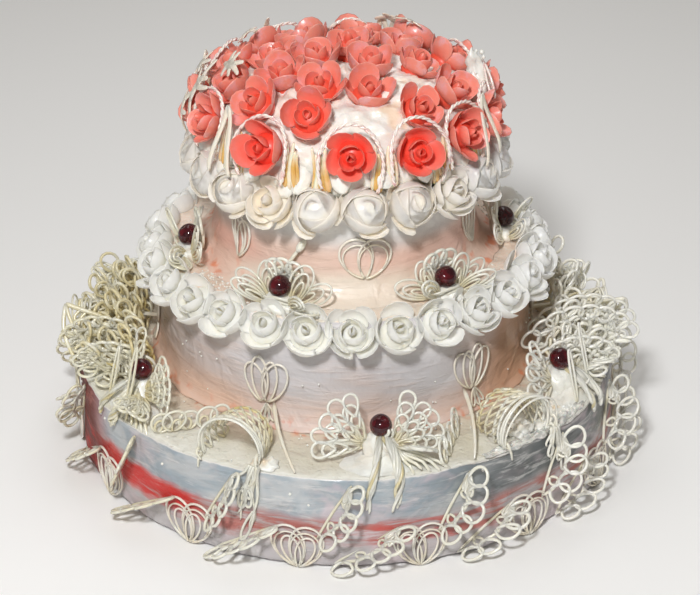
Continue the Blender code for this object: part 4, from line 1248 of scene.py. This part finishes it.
def makeExtraLace():
    bag = Bag()
    for i, (azimuth, distance, length) in enumerate(extraLook["fans"]):
        standingFan(bag, azimuth, distance, length, 0.25, 0.4 * wobble(i, 145), 300 + i)
    for i, (azimuth, distance, length) in enumerate(extraLook["lying"]):
        standingFan(bag, azimuth, distance, length, 1.15 + 0.15 * wobble(i, 156), 0.15 * wobble(i, 157), 320 + i,
                    0.0865 + 0.003 * (i % 2))
    for i, (start, end, distance, tall, rows, waves) in enumerate(extraLook["ruffles"]):
        ruffle(bag, start, end, distance, tall, rows, waves, 340 + i)
    for i, web in enumerate(extraLook["webs"]):
        webFan(bag, *web, 360 + i)
    for azimuth in extraLook["leaves"]:
        leafFrame(bag, azimuth)
    for i, azimuth in enumerate(archLook["azimuths"]):       # rows of loops on the ledge beside each arch
        ends = polar(0.228, azimuth - 19, lowerLedge), polar(0.184, azimuth - 9, lowerLedge)
        up = upwards * 0.85 - outAt(azimuth) * 0.35
        sheet = Sheet(ends[0] + upwards * 0.0012, ends[1] - ends[0], up)
        for k in range(5):
            luck = wobbles(i * 9 + k, 146)
            begin = 0.051 * k / 4, 0
            flat = drop(0.0175 * (1 + 0.2 * luck[0]), 0.0145 * (1 - 0.15 * luck[1]),
                        math.pi / 2 + 0.35 * luck[2], begin, 22, 0.2)
            draw(bag, sheet, flat, 0.0013, 0.0012 * (k % 2), np.clip(0.4 - flat[:, 1] / 0.02, 0, 1))
            flat = drop(0.010, 0.006, math.pi / 2 + 0.6 * luck[1], begin, 14, 0.4)
            draw(bag, sheet, flat, 0.0011, 0.0006, 0.5)
        hangStrands(bag, azimuth + 6.5, i, 8, 0.016, (-0.012, 0.004)[i % 2])
    for i, azimuth in enumerate(lowerCherries["azimuths"]):  # and strands and loops beside each cherry
        for k in range(6):                               # strands that spill to the edge at its right
            share = np.linspace(0, 1, 16)
            luck = wobbles(i * 9 + k, 153)
            path = polar(0.2135 + 0.0215 * share, azimuth + 2.2 + (1.5 + 1.9 * k + 0.5 * luck[0]) * share,
                         0.100 - 0.0135 * share ** (0.8 + 0.2 * luck[1]) + 0.0015 * np.sin(share * 6 + k)
                         - (0.004 + 0.003 * luck[2]) * np.clip(share - 0.8, 0, 1) / 0.2)
            strand(bag, path, 0.0017 - 0.0004 * share, outAt(azimuth), 0.1 + 0.3 * abs(luck[1]), 7)
        if azimuth == 8:                                 # two strands lie over the front one
            for begin, end in (((9.3, 0.1140), (7.1, 0.0960)), ((10.2, 0.1120), (9.6, 0.0940))):
                share = np.linspace(0, 1, 14)
                turn = begin[0] + (end[0] - begin[0]) * share + 0.5 * np.sin(share * 6)
                height = begin[1] + (end[1] - begin[1]) * share
                away = (height - lowerCherries["height"]) ** 2 + ((turn - azimuth) * 0.0036) ** 2
                swell = np.sqrt(np.clip(1 - away / cherryRadius ** 2, 0.15, 1))
                path = polar(0.2062 + cherryRadius * swell, turn, height)
                strand(bag, path, 0.0015 - 0.0003 * share, outAt(azimuth), 0.05, 7)
            continue
        for k, (turn, tall) in enumerate(((3.2, 0.060), (-4.0, 0.048))):       # long narrow loops before the cherry
            spot = azimuth + turn
            outwards, along = axesAt(spot)
            sheet = Sheet(polar(0.229, spot, 0.0845), along, upwards - 0.25 * outwards)
            tall *= 0.55 if abs(azimuth) > 100 else 1
            flat = drop(tall, 0.0048, math.pi / 2 + 0.07 * wobble(i * 3 + k, 150), (0, 0), 26, 0.2)
            draw(bag, sheet, flat, 0.0011, 0.0, np.clip(0.5 - flat[:, 1] / 0.05, 0, 1))
    bag.piece("ledgeLace", materials["lace"], "lace")
    bag = Bag()
    for i, azimuth in enumerate(upperCherries["azimuths"]):
        outwards, along = axesAt(azimuth)
        shell = Sheet(polar(0.1475, azimuth + 7, 0.1865), along, outwards * 0.8 + upwards * 0.25)
        for k in range(5):                               # a flat shell of nested arcs
            flat = drop(0.026 - 0.0035 * k, 0.017 - 0.0026 * k, 0.25 + 0.04 * k, (-0.004, 0), 22, 0.4)
            draw(bag, shell, flat, 0.0011, 0.0008 * k, 0.2 + 0.12 * k)
        cage = Sheet(polar(0.1275, azimuth, 0.188), along, upwards - outwards * 0.12, 0.004, 0.03)
        for k in range(4):                               # a cage of big ovals behind the cherry
            angle = math.pi / 2 + 0.36 * (k - 1.5) + 0.08 * wobble(i * 5 + k, 151)
            draw(bag, cage, drop(0.024, 0.011, angle, (0, 0), 22, 0.3), 0.0015, 0.0005 * (k % 2), 0.25)
            if k < 3:
                angle += 0.18
                begin = 0.0175 * np.array([math.cos(angle), math.sin(angle)])
                draw(bag, cage, drop(0.0150, 0.012, angle, begin, 20, 0.2), 0.0015, 0.0008, 0.05)
        for k in range(2):                               # and flat ribbons across its foot
            share = np.linspace(-1, 1, 16)
            path = polar(0.1485 + 0.001 * k - 0.004 * share ** 2,
                         azimuth + (4.5 + k) * share + 2 * wobble(i * 3 + k, 152),
                         0.1895 + 0.0040 * k + 0.0015 * np.cos(share * 3))
            strand(bag, path, 0.0016 - 0.0004 * np.abs(share), outwards, 0.1, 8, 0.6)
        if i % 2:                                        # a stick with a bud, leant on the wall
            foot, head = polar(0.133, azimuth - 7, 0.186), polar(0.1165, azimuth + 4, 0.226)
            share = np.linspace(0, 1, 10)[:, None]
            strand(bag, foot + (head - foot) * share, 0.0013 + 0.0004 * share[:, 0], outwards, 0.15, 8)
            blob(bag, head + (head - foot) * 0.05, (0.0032, 0.0032, 0.0062), head - foot, 9, 12, 0.12, 600 + i)
    bag.piece("upperLace", materials["lace"], "lace")


makeExtraLace()


def middleWall(height):
    return 0.0014 + np.interp(height, (lowerLedge, 0.089, 0.099, 0.174), (0.174, 0.1665, 0.163, 0.161))


def topWall(height):
    return 0.0014 + np.interp(height, (upperLedge, 0.185, 0.194, 0.212, 0.245), (0.136, 0.1255, 0.117, 0.1128, 0.112))


tulipLook = {"length": 0.0385, "height": 0.105, "angles": (-19, -5, 6, 20), "thick": 0.00105}


def makeWallLace():
    bag = Bag()
    for i, azimuth in enumerate(archLook["azimuths"]):
        wall = Wall(middleWall, azimuth, tulipLook["height"])
        for k, angle in enumerate(tulipLook["angles"]):
            luck = wobble(i * 7 + k, 85)
            size = tulipLook["length"] * (0.94 + 0.06 * luck + (0.06 if k in (1, 2) else 0))
            start = (0.0022 * math.copysign(1, angle), 0.001 * luck)
            width = (0.0155 if k in (0, 3) else 0.0115) * (1 + 0.12 * luck)
            flat = drop(size, width, math.radians(90 - angle), start, 26, 0.3)
            tint = np.clip(0.5 - flat[:, 1] / 0.03, 0, 1)
            draw(bag, wall, flat, tulipLook["thick"], 0.0008 + 0.0006 * (k % 2), tint)
        turn = 14 if i % 2 == 0 else -13.5
        share = np.linspace(0, 1, 12)
        path = polar(0.1635 + 0.071 * share, azimuth + turn * (0.2 + 0.8 * share),
                     0.104 - 0.0185 * share + 0.002 * np.sin(share * 3))
        strand(bag, path, 0.0021 - 0.0009 * share, upwards, 0.2, 8)
        for k in range(3):                       # short split ends at the stick's root
            flat = drop(0.016, 0.004, math.radians(-60 - 22 * k), (0.002, -0.001), 12)
            draw(bag, wall, flat, 0.001, 0.0015, 0.4)
    bag.piece("wallTulips", materials["heartLace"], "lace", "tier_middle")
    bag = Bag()
    for i, azimuth in enumerate((-50, 8, 66, 122, -178, -110)):
        wall = Wall(topWall, azimuth, 0.2200)
        if i % 2:
            laceHeart(bag, wall, 0.040, 0.037, 0.00115, 50 + i, 1)
            continue
        for k, (size, wide, angle) in enumerate(((0.036, 0.011, 0.20), (0.037, 0.012, -0.02), (0.034, 0.013, -0.26))):
            flat = drop(size, wide, math.pi / 2 + angle, (0, -0.018), 26, 0.4, 0.06)
            draw(bag, wall, flat, 0.00105, 0.0005 * k, np.clip(0.4 - (flat[:, 1] + 0.018) / 0.03, 0, 1))
    bag.piece("wallHearts", materials["heartLace"], "lace", "tier_top")


makeWallLace()
print("lace made")


braid = {"radius": 0.0262, "thick": 0.00105, "twist": 0.0008, "pitch": 0.0125}


def braidPath(azimuth, index):               # an arch over one of the lowest coral roses
    outwards, along = axesAt(azimuth)
    centre = polar(0.1295, azimuth, 0.3105)
    turn = np.linspace(-2.15 + 0.1 * wobble(index, 102), 2.15 + 0.1 * wobble(index, 103), 64)
    wide = braid["radius"] * (1 + 0.05 * wobble(index, 101))
    below = np.clip(np.abs(turn) - 1.35, 0, 1)
    across = wide * np.sin(turn) * (1 - 0.10 * below) + 0.002 * np.sin(turn * 2 + index)
    rise = wide * 1.10 * np.cos(turn) - 0.010 * below
    path = centre + np.outer(across, along) + np.outer(rise, upwards)
    return path - np.outer(0.012 * np.clip(np.cos(turn), 0, 1) + 0.003 * np.abs(np.sin(turn)), outwards), outwards


def makeBraids():
    bag = Bag()
    for i, azimuth in enumerate(crownRings[0][3]):
        path, outwards = braidPath(azimuth, i)
        reach = np.concatenate([[0], np.cumsum(np.linalg.norm(np.diff(path, axis=0), axis=1))])
        side = unit(np.cross(unit(np.gradient(path, axis=0)), outwards))
        for phase in (0, math.pi):
            angle = reach / braid["pitch"] * 2 * math.pi + phase
            twist = side * np.cos(angle)[:, None] + outwards * np.sin(angle)[:, None]
            thick = braid["thick"] * (1 + 0.12 * np.sin(angle * 0.37 + i))
            strand(bag, path + twist * braid["twist"], thick, outwards)
    return bag.piece("pearlBraids", materials["pearlSheen"], "coral_roses", "crown_of_roses")


def makePeak():
    bag = Bag()
    distance, turn, foot, tall = 0.112, 93, 0.300, 0.056
    heights = np.linspace(0, 1, 26)
    radius = 0.0185 * np.clip(1.06 - heights, 0, 1) ** 0.85 * (1 - 0.10 * np.sin(heights * 11))
    profile = np.stack([radius, foot + tall * heights], -1)[::-1]
    profile = np.concatenate([[[0, foot + tall + 0.0012]], profile, [[0, foot]]])
    points, faces = turnedSkin(profile, 36)
    points = spreadOut(points, 0.0022 * lumps(points, 0.016, 31) + 0.001 * lumps(points, 0.007, 32))
    points[:, 0] -= 0.006 * np.clip((points[:, 2] - 0.315) / 0.04, 0, 1) ** 2         # the tip bends inwards
    bag.add(points + polar(distance, turn, 0), faces)
    for k in range(22):                          # small beads of cream on its side
        height = 0.318 + 0.038 * abs(wobble(k, 111))
        size = 0.0019 * (1 + 0.4 * wobble(k, 112))
        around = 360 * abs(wobble(k, 113))
        spread = 0.0172 * (1.05 - (height - foot) / tall) ** 0.85
        place = polar(distance, turn, height) + outAt(around) * spread
        blob(bag, place, (size, size, size), rings=7, sides=10, rough=0.1, seed=k)
    bag.piece("creamPeak", materials["cream"], "coral_roses", "crown_of_roses")
    lace = Bag()
    for k in range(5):                           # pearly loops down the peak's outer side
        sheet = Sheet(polar(0.1165, 82 + 5 * k, 0.351 - 0.004 * k), outAt(88) * 0.6 - alongAt(88), upwards)
        flat = drop(0.030, 0.007, math.radians(-56 - 5 * k), (0, 0), 20, 0.5)
        draw(lace, sheet, flat, 0.0012)
    lace.piece("pearlLoops", materials["pearlSheen"], "coral_roses", "crown_of_roses")


def makeGel():                               # draped threads of amber and ivory between the arches
    bag = Bag()
    azimuths = sorted(crownRings[0][3])
    for i, azimuth in enumerate(azimuths):
        after = azimuths[(i + 1) % len(azimuths)] + (360 if i + 1 == len(azimuths) else 0)
        middle, room = (azimuth + after) / 2, (after - azimuth) / 2 - 8
        count = max(int(room * 1.1), 6)
        for k in range(count):
            share = np.linspace(0, 1, 12)
            lean = (k + 0.5) / count * 2 - 1
            lean = math.copysign(0.30 + 0.70 * abs(lean), lean)      # leaves plain cream in the middle
            top = 0.316 + 0.006 * wobble(i * 20 + k, 121)
            low = 0.283 + 0.003 * wobble(i * 20 + k, 122)
            turn = middle + lean * room * (0.85 + 0.15 * share) + 0.5 * np.sin(share * 5 + k)
            path = polar(0.1195 + 0.0035 * share, turn, top + (low - top) * share)
            thick = 0.0023 * (0.6 + 0.5 * share) * (1 + 0.3 * wobble(k, 124))
            strand(bag, path, thick, outAt(middle), 0.5 + 0.5 * wobble(i * 20 + k, 123), 7)
    return bag.piece("amberThreads", materials["gel"], "coral_roses", "crown_of_roses")


def cutPiece(bag, place, axis, spin, size, seed, prongs, stretch):
    axis = unit(axis)
    level = unit(np.cross(axis, upwards + 0.01))
    sheet = Sheet(place, level, np.cross(axis, level), -0.003, size)
    share = np.linspace(0, 1, 12)
    spot = size * (share - 0.5)[:, None] * stretch * np.array([math.cos(spin), math.sin(spin)])
    points, normal = sheet.at(spot)
    strand(bag, points, 0.0052 * (1 - 0.5 * (share - 0.5) ** 2), normal, 0.2, 10, 0.22)
    for k in range(prongs):                      # blunt prongs all round, curved their own way
        angle = spin + 2 * math.pi * (k + 0.3 * wobble(seed * 7 + k, 132)) / prongs
        start = size * 0.45 * stretch * math.cos(angle - spin) * np.array([math.cos(spin), math.sin(spin)])
        long = size * (0.75 + 0.25 * wobble(seed * 7 + k, 133))
        flat = start + np.outer(share * long, (math.cos(angle), math.sin(angle)))
        bend = 0.35 * long * share ** 2 * wobble(seed * 5 + k, 134)
        flat = flat + np.outer(bend, (-math.sin(angle), math.cos(angle)))
        points, normal = sheet.at(flat, 0.0003 * (k % 2))
        strand(bag, points, 0.0034 - 0.0016 * share, normal, 0.2, 8, 0.32)


def makeCutLace():
    bag = Bag()
    # Flat cut pieces: azimuth, radius, height, elevation, spin, size, prongs, stretch
    pieces = ((-80, 0.1275, 0.331, 24, 1.3, 0.020, 7, 1.4), (-98, 0.124, 0.337, 34, 0.7, 0.017, 6, 1.0),
              (-72, 0.100, 0.356, 40, 0.3, 0.017, 7, 0.4), (-112, 0.090, 0.359, 50, 1.7, 0.013, 5, 0.6),
              (-86, 0.138, 0.308, 10, 1.4, 0.015, 5, 1.4), (158, 0.121, 0.339, 35, 0.8, 0.017, 7, 1.2),
              (140, 0.084, 0.3585, 60, 0.2, 0.014, 6, 0.4), (-146, 0.128, 0.330, 22, 1.5, 0.017, 6, 1.2))
    for i, (azimuth, radius, height, lean, spin, size, prongs, stretch) in enumerate(pieces):
        cutPiece(bag, polar(radius, azimuth, height), facing(azimuth, lean), spin, size, i, prongs, stretch)
    for azimuth in (-49, 63, 165, -108):         # pairs of ribbons joined at the top
        for turn, low in ((-5.5, 0.283), (5.5, 0.286)):
            share = np.linspace(0, 1, 16)
            path = polar(0.1255 + 0.0155 * np.sin(share * 2.2) * share, azimuth + turn * share ** 0.8,
                         0.341 + (low - 0.341) * share)
            strand(bag, path, 0.0026 - 0.0004 * share, outAt(azimuth), 0.15, 8, 0.5)
    return bag.piece("cutLace", materials["heartLace"], "coral_roses", "crown_of_roses")


makeBraids()
makePeak()
makeGel()
makeCutLace()


def makeCrumbs():
    bag = Bag()
    luck = np.random.default_rng(7)
    # Sugar beads: how many, azimuths, radii, height, sizes
    for count, turn, reach, height, sizes in (
            (70, (-180, 180), (0.170, 0.180), 0.0835, (0.0006, 0.0013)),
            (90, (-180, 180), (0.185, 0.230), 0.0832, (0.0005, 0.0012)),
            (90, (-180, 180), (0.124, 0.148), 0.1822, (0.0005, 0.0012)),
            (170, (-62, -28), (0.125, 0.150), 0.1822, (0.0006, 0.0012)),
            (120, (100, 150), (0.125, 0.150), 0.1822, (0.0006, 0.0012)),
            (150, (44, 62), (0.190, 0.232), 0.0832, (0.0008, 0.0026))):
        for _ in range(count):
            size = luck.uniform(*sizes)
            blob(bag, polar(luck.uniform(*reach), luck.uniform(*turn), height), (size, size, size), rings=5, sides=7)
    for _ in range(26):                          # larger ones on the bottom tier's side
        height = luck.uniform(0.055, 0.078)
        blob(bag, polar(0.2372, luck.uniform(-180, 180), height), (0.0013, 0.0013, 0.0013), rings=6, sides=8)
    for _ in range(40):                          # and a few stuck to the walls
        place = polar(0.1635, luck.uniform(-180, 180), luck.uniform(0.09, 0.13))
        blob(bag, place, (0.0008, 0.0008, 0.0008), rings=6, sides=8)
    return bag.piece("sugarBeads", materials["cream"], "cream_and_lace")


makeCrumbs()


def makeWetRim():                            # crumpled, shiny icing along the bottom tier's edge
    bag = Bag()
    for phase, (first, last) in enumerate(((29, 61), (150, 178), (-120, -96))):
        turn = np.linspace(0, 1, (last - first) * 3)
        fade = np.sin(turn * math.pi) ** 0.35
        for k in range(3):
            coarse, fine = np.sin(turn * (31 + 9 * k) + k), np.sin(turn * (57 + 11 * k) + 2 * k)
            thick = fade * (0.0023 + 0.0008 * coarse + 0.0005 * fine)
            path = polar(0.2338 - 0.0024 * k + 0.0006 * np.sin(turn * (43 + 5 * k)), first + (last - first) * turn,
                         0.0832 + 0.0004 * np.sin(turn * 47 + k + phase))
            strand(bag, path, np.clip(thick, 0.0003, None), upwards, 0.2 * k, 10)
    bag.piece("wetRim", materials["wetShine"], "icing")


makeWetRim()
print("trimmings made")


def makeStudio():
    floor = bpy.data.meshes.new("floor")
    floor.from_pydata([(-8, -8, 0), (8, -8, 0), (8, 8, 0), (-8, 8, 0)], [], [(0, 1, 2, 3)])
    finish = Finish("paleFloor", Roughness=0.7)
    finish.shader.inputs["Base Color"].default_value = (0.93, 0.93, 0.93, 1)
    floor.materials.append(finish.material)
    board = bpy.data.objects.new("floor", floor)
    bpy.context.scene.collection.objects.link(board)
    world = bpy.data.worlds.new("studio")
    world.use_nodes = True
    world.node_tree.nodes["Background"].inputs["Color"].default_value = (1, 0.94, 0.84, 1)
    world.node_tree.nodes["Background"].inputs["Strength"].default_value = 0.22
    bpy.context.scene.world = world
    for name, place, size, power in (("key", (-0.25, -1.45, 1.5), 0.20, 28.5), ("over", (0.0, 0.8, 1.6), 1.2, 8),
                                     ("fill", (-0.9, -1.8, 0.6), 1.4, 1.4)):
        light = bpy.data.lights.new(name, "AREA")
        light.size = size
        light.energy = power
        lamp = bpy.data.objects.new(name, light)
        lamp.location = place
        lamp.rotation_euler = (Vector((0, 0, 0.15)) - Vector(place)).to_track_quat("-Z", "Y").to_euler()
        bpy.context.scene.collection.objects.link(lamp)
    bpy.context.scene.view_settings.view_transform = "Standard"


makeStudio()
print("finished")
